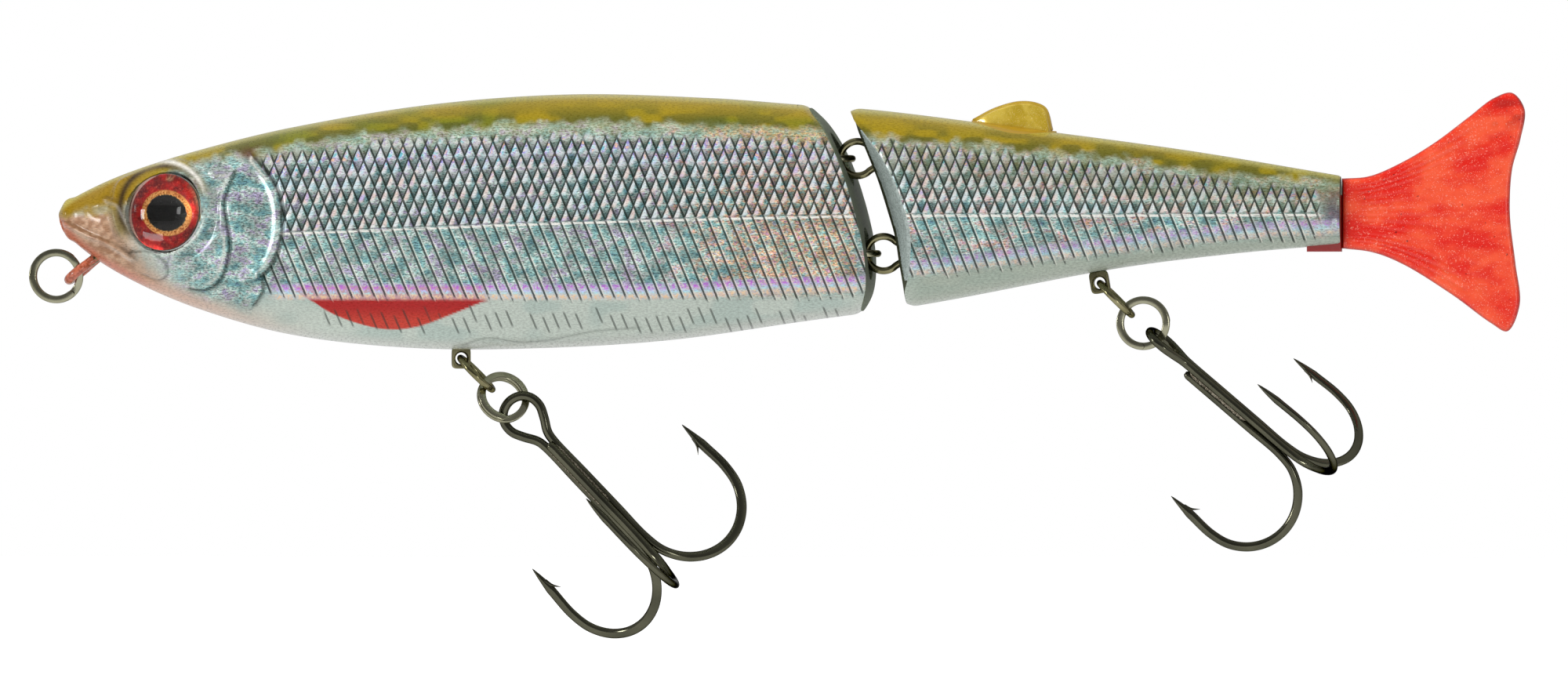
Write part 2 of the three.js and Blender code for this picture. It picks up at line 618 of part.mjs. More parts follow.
function addChain(name, chain) {
  const { up, x, y, origin } = swivelFrame(chain);
  const swivel = framed(origin, x, y, up);
  piece(`${name}_swivel_eye`, swivelEye(BARREL_MOUTH), AGED_BRONZE, swivel);
  const housing = barrel().rotateX(Math.PI / 2).translate(0, 0, BARREL_MOUTH);
  piece(`${name}_swivel_barrel`, housing, AGED_BRONZE, swivel);

  const linkCentre = origin.clone().addScaledVector(LINK_DIRECTION, LINK_LOOP - chain.linkPlay);
  const linkNormal = LINK_DIRECTION.clone().cross(sideways);
  const link = framed(linkCentre, LINK_DIRECTION, sideways, linkNormal);
  piece(`${name}_link_ring`, new THREE.TorusGeometry(LINK_LOOP, LINK_WIRE, 6, 22), AGED_BRONZE, link);

  const across = sideways.clone().applyAxisAngle(LINK_DIRECTION, THREE.MathUtils.degToRad(chain.split.tilt));
  const round = LINK_DIRECTION.clone().cross(across).negate();
  const ring = framed(inPlane(chain.split.centre), LINK_DIRECTION, round, across);
  piece(`${name}_split_ring`, splitRing(chain.split.radius), AGED_BRONZE, ring);

  const { top, direction, roll, scale } = chain.treble;
  const down = inPlane(direction).normalize();
  const single = sideways.clone().negate().applyAxisAngle(down, -THREE.MathUtils.degToRad(roll));
  const treble = framed(inPlane(top), single, down.clone().cross(single), down);
  piece(`${name}_treble_double`, trebleDouble(scale), BLACK_NICKEL, treble);
  piece(`${name}_treble_single`, trebleSingle(scale), BLACK_NICKEL, treble);
}

addShells();
addWiresAndFins();
addNoseRing();
Object.entries(CHAINS).forEach(([name, chain]) => addChain(name, chain));

export default lure;
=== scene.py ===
import math

import bpy
import numpy as np
from mathutils import Matrix, Vector


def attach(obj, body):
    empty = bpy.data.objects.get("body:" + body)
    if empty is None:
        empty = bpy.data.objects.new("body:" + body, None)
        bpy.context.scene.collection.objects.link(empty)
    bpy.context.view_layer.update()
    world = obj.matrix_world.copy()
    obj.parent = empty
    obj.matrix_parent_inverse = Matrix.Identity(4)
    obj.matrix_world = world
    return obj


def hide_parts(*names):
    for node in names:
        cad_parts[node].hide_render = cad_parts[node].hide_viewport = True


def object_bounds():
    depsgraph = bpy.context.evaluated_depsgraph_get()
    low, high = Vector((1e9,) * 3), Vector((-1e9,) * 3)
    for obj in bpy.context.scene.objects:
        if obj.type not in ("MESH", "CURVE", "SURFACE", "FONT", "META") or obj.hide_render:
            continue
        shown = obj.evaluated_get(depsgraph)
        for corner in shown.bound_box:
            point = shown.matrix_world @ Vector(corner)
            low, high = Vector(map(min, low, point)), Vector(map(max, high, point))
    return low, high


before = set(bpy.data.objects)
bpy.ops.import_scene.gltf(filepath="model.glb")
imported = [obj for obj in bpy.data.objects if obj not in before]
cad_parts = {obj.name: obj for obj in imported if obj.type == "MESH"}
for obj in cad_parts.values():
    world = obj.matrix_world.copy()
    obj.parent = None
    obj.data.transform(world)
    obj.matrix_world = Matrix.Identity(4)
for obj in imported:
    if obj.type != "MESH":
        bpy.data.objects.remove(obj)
cad_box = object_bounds()

# ---- driving dimensions, in millimetres ----
MM = 0.001
TIE_HOLE = np.array([2.68, 0.0, -6.77])  # the frame's origin, from the nose tip
SEAM = 0.02  # half the hairline between two shell halves
FRONT_END = 99.0  # before the joint's curved faces are laid in
REAR_START = 102.0
TAIL_ROOT = 157.6
NOSE = {"z": 0.1, "blunt": 0.9, "tip": 0.05, "lip": 0.32}
WIDEST = 0.54  # height of the widest point, as a share of a section's height
SQUARENESS = 2.25  # exponent of the section's superellipse

BACK = [
    (0, 0.8), (3, 2.8), (8.7, 5.3), (17.3, 8), (28.9, 10.8), (46.2, 13.6), (63.5, 14.8),
    (80.9, 14.3), (91.4, 13.5), (101.1, 12.8), (115.5, 11), (138.6, 7.9), (157.6, 4.75),
]
BELLY = [
    (0, -0.7), (2.9, -4), (8.7, -7.7), (17.3, -11.4), (28.9, -14.6), (43.3, -16.2), (57.8, -16.3),
    (75.1, -15.3), (92.4, -12.9), (106.8, -10.9), (129.9, -6.6), (144.4, -4.75), (157.6, -3.6),
]
HALF_WIDTH = [
    (0, 0.9), (3, 2.7), (8, 5.2), (14, 7.3), (22, 8.9), (35, 9.8), (55, 10.1),
    (75, 9.8), (90, 9.1), (104, 8.4), (118, 7), (135, 5), (150, 3.4), (157.6, 2.7),
]
FRONT_FACE = [
    (91.2, 15.5), (92.8, 13.2), (94.5, 11.2), (96, 8.7), (97.1, 6.3), (98.1, 3.4), (99, 0.2),
    (99.7, -3), (100.1, -6.2), (100, -9.3), (99.2, -11.6), (98.2, -13.5),
]
REAR_FACE = [
    (97, 14), (98.2, 12.3), (99, 10), (100.5, 6.3), (101.4, 4), (102.6, 0.2), (103.4, -2.6),
    (103.9, -5.7), (104.5, -9.3), (104.7, -12),
]
# Nearer the mid-plane than dark, the rear section's front face takes a dark olive that is painted shade
# inside the joint.
REAR_BEVEL = {"start": 4.6, "slope": 0.68, "round": 0.5, "dark": 5.2}

JOINT_EYES = {
    "upper": {"front": 97.85, "rear": 96.4, "z": 6.9},
    "lower": {"front": 101.0, "rear": 99.6, "z": -4.7},
}
JOINT = {"wire": 0.43, "loop": 2.1, "leg": 6.2, "gap": 0.25, "pocket": 3.1, "pocket_depth": 3.2}
TIE = {"wire": 0.6, "loop": 1.75, "leg": 13.0, "gap": 0.25}
TIE_DIRECTION = np.array([-0.78, 0.0, -0.62])

ORBIT = {"x": 13.0, "z": 0.95, "ridge": 5.75, "groove": 6.9}  # in the flank pattern
NOSTRIL = {"x": 5.3, "z": 0.5, "long": 1.5}
EYE = {"x": 14.5, "z": 0.2, "floor": 4.7, "forward": 0.24, "up": 0.1, "socket": 4.95}
PUPIL = {"wide": 2.45, "high": 2.2, "forward": 0.12, "lean": 0.048}
IRIS = {"radius": 4.75, "thickness": 0.5, "out": 0.4, "rings": 60}
LENS = {"radius": 4.75, "edge": 0.9, "dome": 1.9, "out": 0.85, "bevel": 0.12}

SPLIT_WIRE = {"radial": 0.46, "axial": 0.25, "pitch": 0.56, "ends": 0.12}
LINK = {"wire": 0.4, "loop": 2.75}
LINK_DIRECTION = np.array([1.0, 0.0, -1.0])
NOSE_RING = {"centre": (-0.3, 0, -7.4), "radius": 2.88}
SWIVEL = {
    "eye": 1.25, "half": 0.95, "hole": 0.72, "stem": 0.55, "head": 1.15, "head_height": 1.1, "mouth": 1.75,
    "wide": 1.15, "square": 5.0, "gap": 0.25, "outer_bevel": 0.22, "inner_bevel": 0.18, "root": 1.1,
    "stem_length": 1.6, "chamfer": 0.15,
}
HOOK = {
    "wire": 0.575, "bend_at": 16.4, "bend": 7.2, "point_at": 9.1, "lean": 0.35, "taper": 3.4, "barb_at": 3.2,
    "braze": 10.4, "single_out": 1.88, "forged": 0.45,
}
HOOK_EYE = [(0, 0.6), (1.2, 0.85), (2.8, 1.75), (4.2, 2.35), (5.6, 2.25), (6.7, 1.4), (7.12, 0)]
CHAINS = {
    "belly": {
        "hole": (49.75, 0, -17.5), "shaft": (0, 0, -1), "yaw": 9, "play": 0.1,
        "split": {"centre": (54.94, 0, -22.28), "radius": 2.82, "tilt": -36},
        "treble": {"top": (60.62, 0, -27.91), "direction": (0.692, 0, -0.722), "roll": 0, "scale": 1.0},
    },
    "rear": {
        "hole": (128.2, 0, -8.3), "shaft": (0.17, 0, -0.985), "yaw": 0, "play": 0.0,
        "split": {"centre": (133.5, 0, -13.2), "radius": 2.82, "tilt": 0},
        "treble": {"top": (139.3, 0, -18.45), "direction": (0.76, 0, -0.65), "roll": -100, "scale": 0.915},
    },
}
TAIL_OUTLINE = [
    (157.75, 4.4), (161.1, 4.7), (165.1, 6.4), (169.1, 8.8), (173.1, 11.8), (176.3, 14.2), (178.5, 14.8),
    (180, 12.8), (179.5, 9.2), (178.5, 5.6), (178.2, 1.6), (178.3, -1.2), (178.9, -6), (179.4, -11),
    (177.9, -14.2), (175.9, -13.2), (171.1, -9.7), (165.1, -6), (161.5, -4.6), (157.75, -4.1),
]
TAIL = {
    "thickness": 1.5, "tongue": 153.5, "tongue_top": 2.4, "tongue_bottom": -4.5, "fan_from": 149.0,
    "upper_tip": (178.5, 14.8), "lower_tip": (177.9, -14.2),
}
DORSAL_OUTLINE = [(112.6, 11.7), (115.3, 13.1), (118.3, 13.9), (120.5, 13.7), (121.7, 13), (122.5, 10.4)]
DORSAL_THICKNESS = 2.4
DORSAL_BASE = [(112.6, 11.2), (117.6, 10.2), (121.8, 9.6)]  # inside the body
LAND = {"start": 112.5, "end": 122.9, "half_width": 3.3, "rise": 0.16, "sink": 0.3}

# The pattern on the flanks is set out as it is seen from a little behind the beam.
PATTERN_LEAN = math.tan(math.radians(6))
SCALE_PITCH = 1.38  # along the body
SCALE_LEAN = 0.41  # how far a scale line leans along the body for each millimetre of height
LATERAL_LINE = [(20, -2.2), (30, -2.0), (60, -0.9), (97, 0.0), (130, 0.1), (158, 0.2)]
NET_TOP = [
    (24, 6.5), (30, 7.6), (45, 8.8), (70, 9.2), (97, 8.7), (106, 8.3), (130, 5.6), (147, 3.2), (158, 2.4),
]
RIB_END = [
    (26, -9.4), (60, -9.6), (97, -9.3), (104, -7.4), (108, -6.9), (132, -4.1), (147, -2.6), (158, -2.2),
]
OLIVE_EDGE = [
    (0, 0.1), (3, 0.3), (6, 0.5), (8.5, 1.6), (10, 3.2), (17, 6.4), (24, 7.4), (32, 8.9), (45, 10.2),
    (65, 11.0), (90, 10.2), (104, 9.0), (130, 6.5), (147, 4.5), (158, 3.9),
]
GILL_EDGE = [(24.5, 6.8), (26.6, 4.2), (27.7, 1.25), (27.8, -1.6), (27.3, -4.2), (26.2, -6.4), (25.2, -7.4)]
GILL_THROAT = [(-13, 23.5), (-10.7, 24.6), (-9.2, 25.5), (-7.4, 25.3)]  # (height, place), below GILL_EDGE
GILL_NOTCH = [(25.2, -7.4), (25.45, -8.2), (25.4, -9.2), (24.5, -10.7)]
CHEEK_EDGE = [
    (21.9, 5.0), (21.2, 3.4), (20.6, 1.25), (20.9, -0.7), (21.3, -3.7), (20.8, -6.5), (19.8, -8.3),
    (18.3, -9.0), (16.6, -8.9),
]
# Each plate of the head: its edge, how far that is raised, how deep the groove beside it is, and their width.
PLATES = [(GILL_EDGE, 0.42, 0.3, 0.32), (GILL_NOTCH, 0.26, 0.22, 0.28), (CHEEK_EDGE, 0.3, 0.22, 0.32)]
JAW_LOBE = [(8.9, -4.6), (10.2, -4.4), (12.0, -4.7), (13.3, -5.7), (13.6, -7.3), (12.6, -7.9), (10.6, -7.2)]
CREASES = [
    [(16.6, 4.6), (18.2, 5.2), (20.6, 5.1)],
    [(18.4, 0.4), (19.4, 2.6), (20.8, 4.7)],
    [(6.2, 1.9), (7.6, 1.4), (8.3, 0.2), (9.3, -1.6)],
    [(0.9, -1.0), (3.6, -2.4), (6.6, -3.6), (9.2, -5.2)],
]
RED_BOTTOM = [
    (29.4, -9.3), (31.7, -10.6), (34, -12.0), (37.5, -13.3), (41, -13.95), (44.5, -13.6), (48, -12.4),
    (52.6, -10.6),
]
RED_TOP = -8.6
VARNISH_RUN = [(50.0, -15.9), (53.0, -15.0), (57.0, -15.5), (61.0, -15.2), (66.0, -14.2), (72.0, -13.7)]

# Colours are given from 0 to 255, as a screen shows them.
SKIN_COLOURS = {
    "silver": (198, 208, 198), "sea_green": (176, 194, 186), "low_belly": (196, 202, 194),
    "rear_flank": (156, 168, 150), "throat": (206, 160, 136), "jaw": (164, 120, 88),
    "pale_jaw": (216, 180, 150), "chin": (190, 112, 84), "brow": (134, 118, 70), "olive": (158, 134, 2),
    "snout": (150, 116, 22),
    # crest_highlight, recess_shade and painted_highlight are painted light: a highlight along the back, shade
    # in the head's recesses and creases, and highlights on its ridges and plate edges.
    "green": (118, 120, 6), "dark_olive": (74, 80, 22), "crest_highlight": (196, 188, 104), "rust": (92, 52, 28),
    "recess_shade": (66, 50, 28), "painted_highlight": (236, 232, 222), "red": (178, 12, 10), "light_red": (210, 62, 40),
    "violet": (70, 34, 96),
}
FOIL_HUES = [
    (0.28, (110, 120, 168)), (0.37, (110, 163, 170)), (0.46, (146, 188, 184)), (0.54, (200, 212, 204)),
    (0.6, (176, 160, 206)), (0.66, (150, 178, 176)), (0.76, (236, 196, 160)),
]
WARM_HUES = [
    (0.34, (110, 190, 190)), (0.44, (232, 222, 176)), (0.54, (246, 186, 112)), (0.64, (206, 150, 180)),
]
# The hues of the painted highlights on the scales, and of those on the upper rows.
SCALE_HIGHLIGHT_HUES = [
    (0.3, (215, 240, 250)), (0.5, (250, 250, 250)), (0.62, (250, 225, 215)), (0.75, (225, 205, 250)),
]
UPPER_HIGHLIGHT_HUES = [
    (0.36, (90, 200, 225)), (0.46, (235, 245, 250)), (0.54, (140, 130, 235)), (0.66, (250, 205, 170)),
]
BAND_HUES = [
    (0.0, (235, 190, 150)), (0.28, (250, 215, 170)), (0.42, (180, 235, 245)), (0.55, (206, 200, 255)),
    (0.68, (206, 110, 226)), (1.0, (150, 90, 190)),
]
# JOINT_SHADE is a dark olive painted as shade on the inner part of the rear face.
PAINTED, GRANULAR, JOINT_SHADE, PALE = range(4)  # the materials of the body's skins, in their order

CURVE_STEPS = 24  # between two given points of a curve
LATTICE = 256  # cells along each side of a random field
FACE_BLEND = 9.0  # how far from a joint's face the body's grid starts to follow it
FACE_ROUNDS = 10  # until the grid lies on the face
RING_SIDES = 24  # round a ring's wire
CAP_STEPS = 44  # rows of cells from a joint face's rim to the mid-plane


# ---- vectors and curves ----
def unit(vector):
    """The vector, or each row of vectors, at length one."""
    vector = np.asarray(vector, float)
    return vector / np.linalg.norm(vector, axis=-1, keepdims=True)


def turned(vector, axis, degrees):
    """A vector turned about an axis."""
    turn = Matrix.Rotation(math.radians(degrees), 3, Vector(axis))
    return np.array(turn @ Vector(vector))


def through(points):
    """A smooth function of x through (x, value) points, which works on arrays."""
    xs, ys = np.array(points, float).T
    before = np.clip(np.arange(len(xs)) - 1, 0, None)
    after = np.clip(np.arange(len(xs)) + 1, None, len(xs) - 1)
    slopes = (ys[after] - ys[before]) / (xs[after] - xs[before])

    def value(x):
        i = np.clip(np.searchsorted(xs, x, side="right") - 1, 0, len(xs) - 2)
        h = xs[i + 1] - xs[i]
        t = np.clip((x - xs[i]) / h, 0, 1)
        ease = t * t * (3 - 2 * t)
        bend = h * slopes[i] * t * (1 - t) ** 2 - h * slopes[i + 1] * t * t * (1 - t)
        return ys[i] + (ys[i + 1] - ys[i]) * ease + bend

    return value


def lengths_along(line):
    """How far each point of a line is from its start, along the line."""
    return np.concatenate([[0], np.cumsum(np.linalg.norm(np.diff(line, axis=0), axis=1))])


def resampled(line, count):
    """A given number of evenly spaced points along a line."""
    along = lengths_along(line)
    places = np.linspace(0, along[-1], count)
    return np.column_stack([np.interp(places, along, line[:, k]) for k in range(line.shape[1])])


def blended(t, start, end, a, b):
    """The value at t on the straight way from a at the start to b at the end."""
    return ((end - t) * a + (t - start) * b) / (end - start)


def curve_through(points, step):
    """Points a step apart on a centripetal Catmull-Rom curve through the given points."""
    points = np.array(points, float)
    padded = np.vstack([2 * points[0] - points[1], points, 2 * points[-1] - points[-2]])
    line = []
    for i in range(len(padded) - 3):
        level = list(padded[i : i + 4])
        gaps = np.sqrt(np.linalg.norm(np.diff(level, axis=0), axis=1))
        knots = np.concatenate([[0], np.cumsum(gaps)])
        t = np.linspace(knots[1], knots[2], CURVE_STEPS, endpoint=False)[:, None]
        for width in (1, 2):
            pairs = enumerate(zip(level[:-1], level[1:]))
            level = [blended(t, knots[j], knots[j + width], a, b) for j, (a, b) in pairs]
        line.append(blended(t, knots[1], knots[2], *level))
    line = np.vstack(line + [padded[-2][None]])
    steps = max(2, int(round(lengths_along(line)[-1] / step)))
    return resampled(line, steps + 1)


def smoothstep(low, high, value):
    """0 below low, 1 above high, and a smooth change between."""
    t = np.clip((value - low) / (high - low), 0, 1)
    return t * t * (3 - 2 * t)


def bump_at(distance, width):
    """1 at no distance, falling off smoothly over about the width."""
    return np.exp(-((distance / width) ** 2))


def line_distance(x, z, points):
    """Distance from each (x, z) to a smooth line, and which side it lies on: +1 is on the line's left."""
    line = curve_through(points, 0.5)
    best = np.full(x.shape, 1e9)
    side = np.ones(x.shape)
    for (x0, z0), (x1, z1) in zip(line[:-1], line[1:]):
        dx, dz = x1 - x0, z1 - z0
        t = np.clip(((x - x0) * dx + (z - z0) * dz) / (dx * dx + dz * dz), 0, 1)
        px, pz = x - x0 - t * dx, z - z0 - t * dz
        distance = np.hypot(px, pz)
        nearer = distance < best
        best = np.where(nearer, distance, best)
        side = np.where(nearer, np.sign(dx * pz - dz * px), side)
    return best, side


def blotches(x, z, size, seed):
    """Smooth random values from 0 to 1 that change over the given size."""
    lattice = np.random.default_rng(seed).random((LATTICE, LATTICE))
    u, v = x / size + LATTICE / 4, z / size + LATTICE / 4
    i, j = np.floor(u).astype(int), np.floor(v).astype(int)
    across, up = smoothstep(0, 1, u - i), smoothstep(0, 1, v - j)

    def corner(a, b):
        return lattice[(i + a) % LATTICE, (j + b) % LATTICE]

    lower = corner(0, 0) * (1 - across) + corner(1, 0) * across
    upper = corner(0, 1) * (1 - across) + corner(1, 1) * across
    return lower * (1 - up) + upper * up


# ---- meshes ----
def place(points):
    """Millimetres from the nose tip to the frame's metres."""
    return (np.asarray(points, float) - TIE_HOLE) * MM


def make_piece(name, points, faces, body, materials, replaces=(), slot=None, crease=35, kinds=None,
               values=None):
    """A mesh object that rides on a body, from points in millimetres; values are held at each point."""
    mesh = bpy.data.meshes.new(name)
    mesh.from_pydata(place(points).tolist(), [], [list(map(int, f)) for f in faces])
    for material in materials:
        mesh.materials.append(material)
    if kinds is not None:
        mesh.polygons.foreach_set("material_index", np.asarray(kinds, np.int32))
    for key, data in (values or {}).items():
        data = np.asarray(data, np.float32)
        if data.ndim == 1:
            mesh.attributes.new(key, "FLOAT", "POINT").data.foreach_set("value", data)
        else:
            full = np.column_stack([data, np.ones(len(data), np.float32)])
            mesh.attributes.new(key, "FLOAT_COLOR", "POINT").data.foreach_set("color", full.ravel())
    mesh.shade_smooth()
    mesh.set_sharp_from_angle(angle=math.radians(crease))
    mesh.update()
    obj = bpy.data.objects.new(name, mesh)
    bpy.context.scene.collection.objects.link(obj)
    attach(obj, body)
    if replaces:
        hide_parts(*replaces)
    return obj


def joined(*parts):
    """Several (points, faces) as one."""
    points, faces, start = [], [], 0
    for some, their_faces in parts:
        points.append(np.asarray(some, float))
        faces += [[i + start for i in face] for face in their_faces]
        start += len(some)
    return np.vstack(points), faces


def numbered(rows, columns, start=0):
    """The numbers of a grid's points, row by row."""
    return start + np.arange(rows * columns).reshape(rows, columns)


def quads_of(ids):
    """Quads between the numbered points of a grid."""
    return np.stack([ids[:-1, :-1], ids[:-1, 1:], ids[1:, 1:], ids[1:, :-1]], -1).reshape(-1, 4)


def tube(rings, close_ends=True):
    """A closed skin over rings, each an array of as many points."""
    rings = np.asarray(rings, float)
    rows, columns = rings.shape[:2]
    points = rings.reshape(-1, 3)
    ids = numbered(rows, columns)
    faces = quads_of(np.hstack([ids, ids[:, :1]])).tolist()
    if not close_ends:
        first = np.arange(columns)
        last = first + (rows - 1) * columns
        faces += np.column_stack([last, np.roll(last, -1), np.roll(first, -1), first]).tolist()
        return points, faces
    hubs = [rings[0].mean(0), rings[-1].mean(0)]
    points = np.vstack([points, hubs])
    first, last = rows * columns, rows * columns + 1
    for j in range(columns):
        k = (j + 1) % columns
        faces.append([first, k, j])
        faces.append([last, (rows - 1) * columns + j, (rows - 1) * columns + k])
    return points, faces


def frames_along(line):
    """Two directions across a line at each of its points, carried along it without twist."""
    tangents = unit(np.gradient(line, axis=0))
    spare = np.eye(3)[np.argmin(np.abs(tangents[0]))]
    normals = [unit(np.cross(tangents[0], spare))]
    for tangent in tangents[1:]:
        normal = normals[-1] - tangent * np.dot(normals[-1], tangent)
        normals.append(unit(normal))
    normals = np.array(normals)
    return normals, np.cross(tangents, normals)


def wire(line, radius, sides=20, flat=0, flat_along=None):
    """A round wire along a line; where flat is over 0 it is pressed flat along the given directions."""
    line = np.asarray(line, float)
    normals, others = frames_along(line)
    radius = np.broadcast_to(radius, len(line))[:, None, None]
    angle = np.linspace(0, 2 * math.pi, sides, endpoint=False)[None, :, None]
    out = (np.cos(angle) * normals[:, None] + np.sin(angle) * others[:, None]) * radius
    if flat_along is not None:
        press = np.asarray(flat, float)[:, None, None]
        along = np.asarray(flat_along, float)[:, None]
        depth = (out * along).sum(-1, keepdims=True)
        spread = HOOK["forged"] * press
        out = out * (1 + spread) - along * depth * (press + spread)
    return tube(line[:, None] + out)


def lathe(profile, origin, axis, sides=96):
    """A turned solid: profile is (radius, height along the axis), from the axis round to the axis."""
    axis = unit(axis)
    side = unit(np.cross(axis, np.eye(3)[np.argmin(np.abs(axis))]))
    other = np.cross(axis, side)
    inner = np.array(profile[1:-1], float)
    angle = np.linspace(0, 2 * math.pi, sides, endpoint=False)
    round_it = np.cos(angle)[:, None] * side + np.sin(angle)[:, None] * other
    rings = np.asarray(origin, float) + inner[:, :1, None] * round_it[None] + inner[:, 1:, None] * axis
    points, faces = tube(rings)
    points[-2] = np.asarray(origin) + axis * profile[0][1]
    points[-1] = np.asarray(origin) + axis * profile[-1][1]
    return points, faces


# ---- materials ----
def srgb(red, green, blue):
    """A colour given from 0 to 255 as the screen shows it, in the linear values that shaders use."""
    part = np.array([red, green, blue]) / 255
    linear = np.where(part <= 0.04045, part / 12.92, ((part + 0.055) / 1.055) ** 2.4)
    return (*map(float, linear), 1.0)


class Finish:
    """One material, with short ways to add its nodes."""

    def __init__(self, name, **sockets):
        self.material = bpy.data.materials.new(name)
        self.material.use_nodes = True
        self.tree = self.material.node_tree
        self.shader = self.tree.nodes["Principled BSDF"]
        for key, value in sockets.items():
            self.shader.inputs[key.replace("_", " ")].default_value = value

    def put(self, socket, value):
        if isinstance(value, bpy.types.NodeSocket):
            self.tree.links.new(value, socket)
        else:
            socket.default_value = value

    def node(self, kind, inputs, **settings):
        made = self.tree.nodes.new(kind)
        for key, value in settings.items():
            setattr(made, key, value)
        for key, value in inputs.items():
            self.put(made.inputs[key], value)
        return made

    def math(self, operation, a, b=0.0):
        return self.node("ShaderNodeMath", {0: a, 1: b}, operation=operation).outputs[0]

    def times(self, value, *others):
        """The product of all the values."""
        for other in others:
            value = self.math("MULTIPLY", value, other)
        return value

    def largest(self, value, *others):
        for other in others:
            value = self.math("MAXIMUM", value, other)
        return value

    def grey(self, value):
        """A colour with the value in each of its channels."""
        return self.node("ShaderNodeCombineColor", {0: value, 1: value, 2: value}).outputs[0]

    def ramp(self, value, low, high, start=0.0, end=1.0):
        inputs = {"Value": value, "From Min": low, "From Max": high, "To Min": start, "To Max": end}
        return self.node("ShaderNodeMapRange", inputs, interpolation_type="SMOOTHSTEP").outputs[0]

    def mix(self, share, a, b, mode="MIX"):
        made = self.node("ShaderNodeMix", {0: share, 6: a, 7: b}, data_type="RGBA", blend_type=mode)
        return made.outputs[2]

    def value(self, name):
        return self.node("ShaderNodeAttribute", {}, attribute_name=name).outputs["Fac"]

    def colour(self, name):
        return self.node("ShaderNodeAttribute", {}, attribute_name=name).outputs["Color"]

    def spot(self):
        """The place on the piece, in millimetres."""
        where = self.node("ShaderNodeTexCoord", {}).outputs["Object"]
        return self.node("ShaderNodeVectorMath", {0: where, "Scale": 1 / MM}, operation="SCALE").outputs[0]

    def noise(self, size, stretch=(1, 1, 1), detail=2.0, where=None, rough=0.5):
        """A noise whose features are about size millimetres, drawn out along the axes by stretch."""
        squeeze = tuple(1 / (size * s) for s in stretch)
        inputs = {0: where or self.spot(), 1: squeeze}
        scaled = self.node("ShaderNodeVectorMath", inputs, operation="MULTIPLY").outputs[0]
        inputs = {"Vector": scaled, "Scale": 1.0, "Detail": detail, "Roughness": rough}
        return self.node("ShaderNodeTexNoise", inputs).outputs["Fac"]

    def stops(self, value, colours):
        """A colour ramp through (place, colour) stops."""
        made = self.node("ShaderNodeValToRGB", {"Fac": value})
        elements = made.color_ramp.elements
        while len(elements) < len(colours):
            elements.new(0.5)
        for element, (position, colour) in zip(elements, colours):
            element.position = position
            element.color = srgb(*colour)
        return made.outputs["Color"]

    def bump(self, height, distance, strength=1.0):
        inputs = {"Height": height, "Distance": distance * MM, "Strength": strength}
        self.put(self.shader.inputs["Normal"], self.node("ShaderNodeBump", inputs).outputs[0])

    def set(self, socket, value):
        self.put(self.shader.inputs[socket], value)


def metal_finish(name, dark, light, roughness, size=2.2, bump=0.0015, edge=0.25):
    """A metal whose colour and polish vary a little from place to place."""
    finish = Finish(name, Metallic=1.0, Specular_Tint=(edge, edge, edge, 1))
    patches = finish.noise(size, detail=4.0)
    fine = finish.noise(size / 9, detail=3.0)
    finish.set("Base Color", finish.mix(finish.ramp(patches, 0.2, 0.8), srgb(*dark), srgb(*light)))
    finish.set("Roughness", finish.ramp(patches, 0.3, 0.7, roughness * 0.75, roughness * 1.3))
    finish.bump(fine, bump)
    return finish.material


def skin_fields(finish):
    """The noises and held values that the coats of the body's paint share."""
    inputs = {0: finish.value("along"), 1: finish.value("height")}
    where = finish.node("ShaderNodeCombineXYZ", inputs).outputs[0]
    return {
        "where": where,
        "grain": finish.noise(0.16, (2.6, 1, 1), 3.0, where, 0.7),
        "streak": finish.noise(0.2, (9, 1, 1), 2.0, where),
        "hue": finish.noise(1.5, (1.6, 1, 1), 5.0, where, 0.72),
        "cloud": finish.noise(2.0, (1.3, 1, 1), 3.0, where),
        "net": finish.value("net"),
        "rib": finish.value("rib"),
        "a": finish.math("FRACT", finish.value("line_a")),
        "b": finish.math("FRACT", finish.value("line_b")),
    }


def foil_colour(finish, fields):
    """Silver foil with patches of blue, green and violet, and warmer ones towards the joint."""
    hues = finish.stops(fields["hue"], FOIL_HUES)
    uneven = finish.ramp(fields["hue"], 0.35, 0.65, -0.45, 0.45)
    warm = finish.ramp(finish.math("ADD", finish.value("warm"), uneven), 0.3, 0.8)
    speckle = finish.noise(0.5, (1.5, 1, 1), 2.0, fields["where"], 0.6)
    share = finish.times(warm, finish.ramp(speckle, 0.46, 0.56, 0.25, 0.85))
    hues = finish.mix(share, hues, finish.stops(speckle, WARM_HUES))
    bright = finish.ramp(fields["grain"], 0.34, 0.66, 0.32, 1.25)
    bright = finish.math("ADD", bright, finish.ramp(fields["streak"], 0.3, 0.7, -0.16, 0.16))
    bright = finish.times(bright, finish.ramp(fields["cloud"], 0.34, 0.66, 0.72, 1.3))
    return finish.mix(1.0, hues, finish.grey(bright), "MULTIPLY")


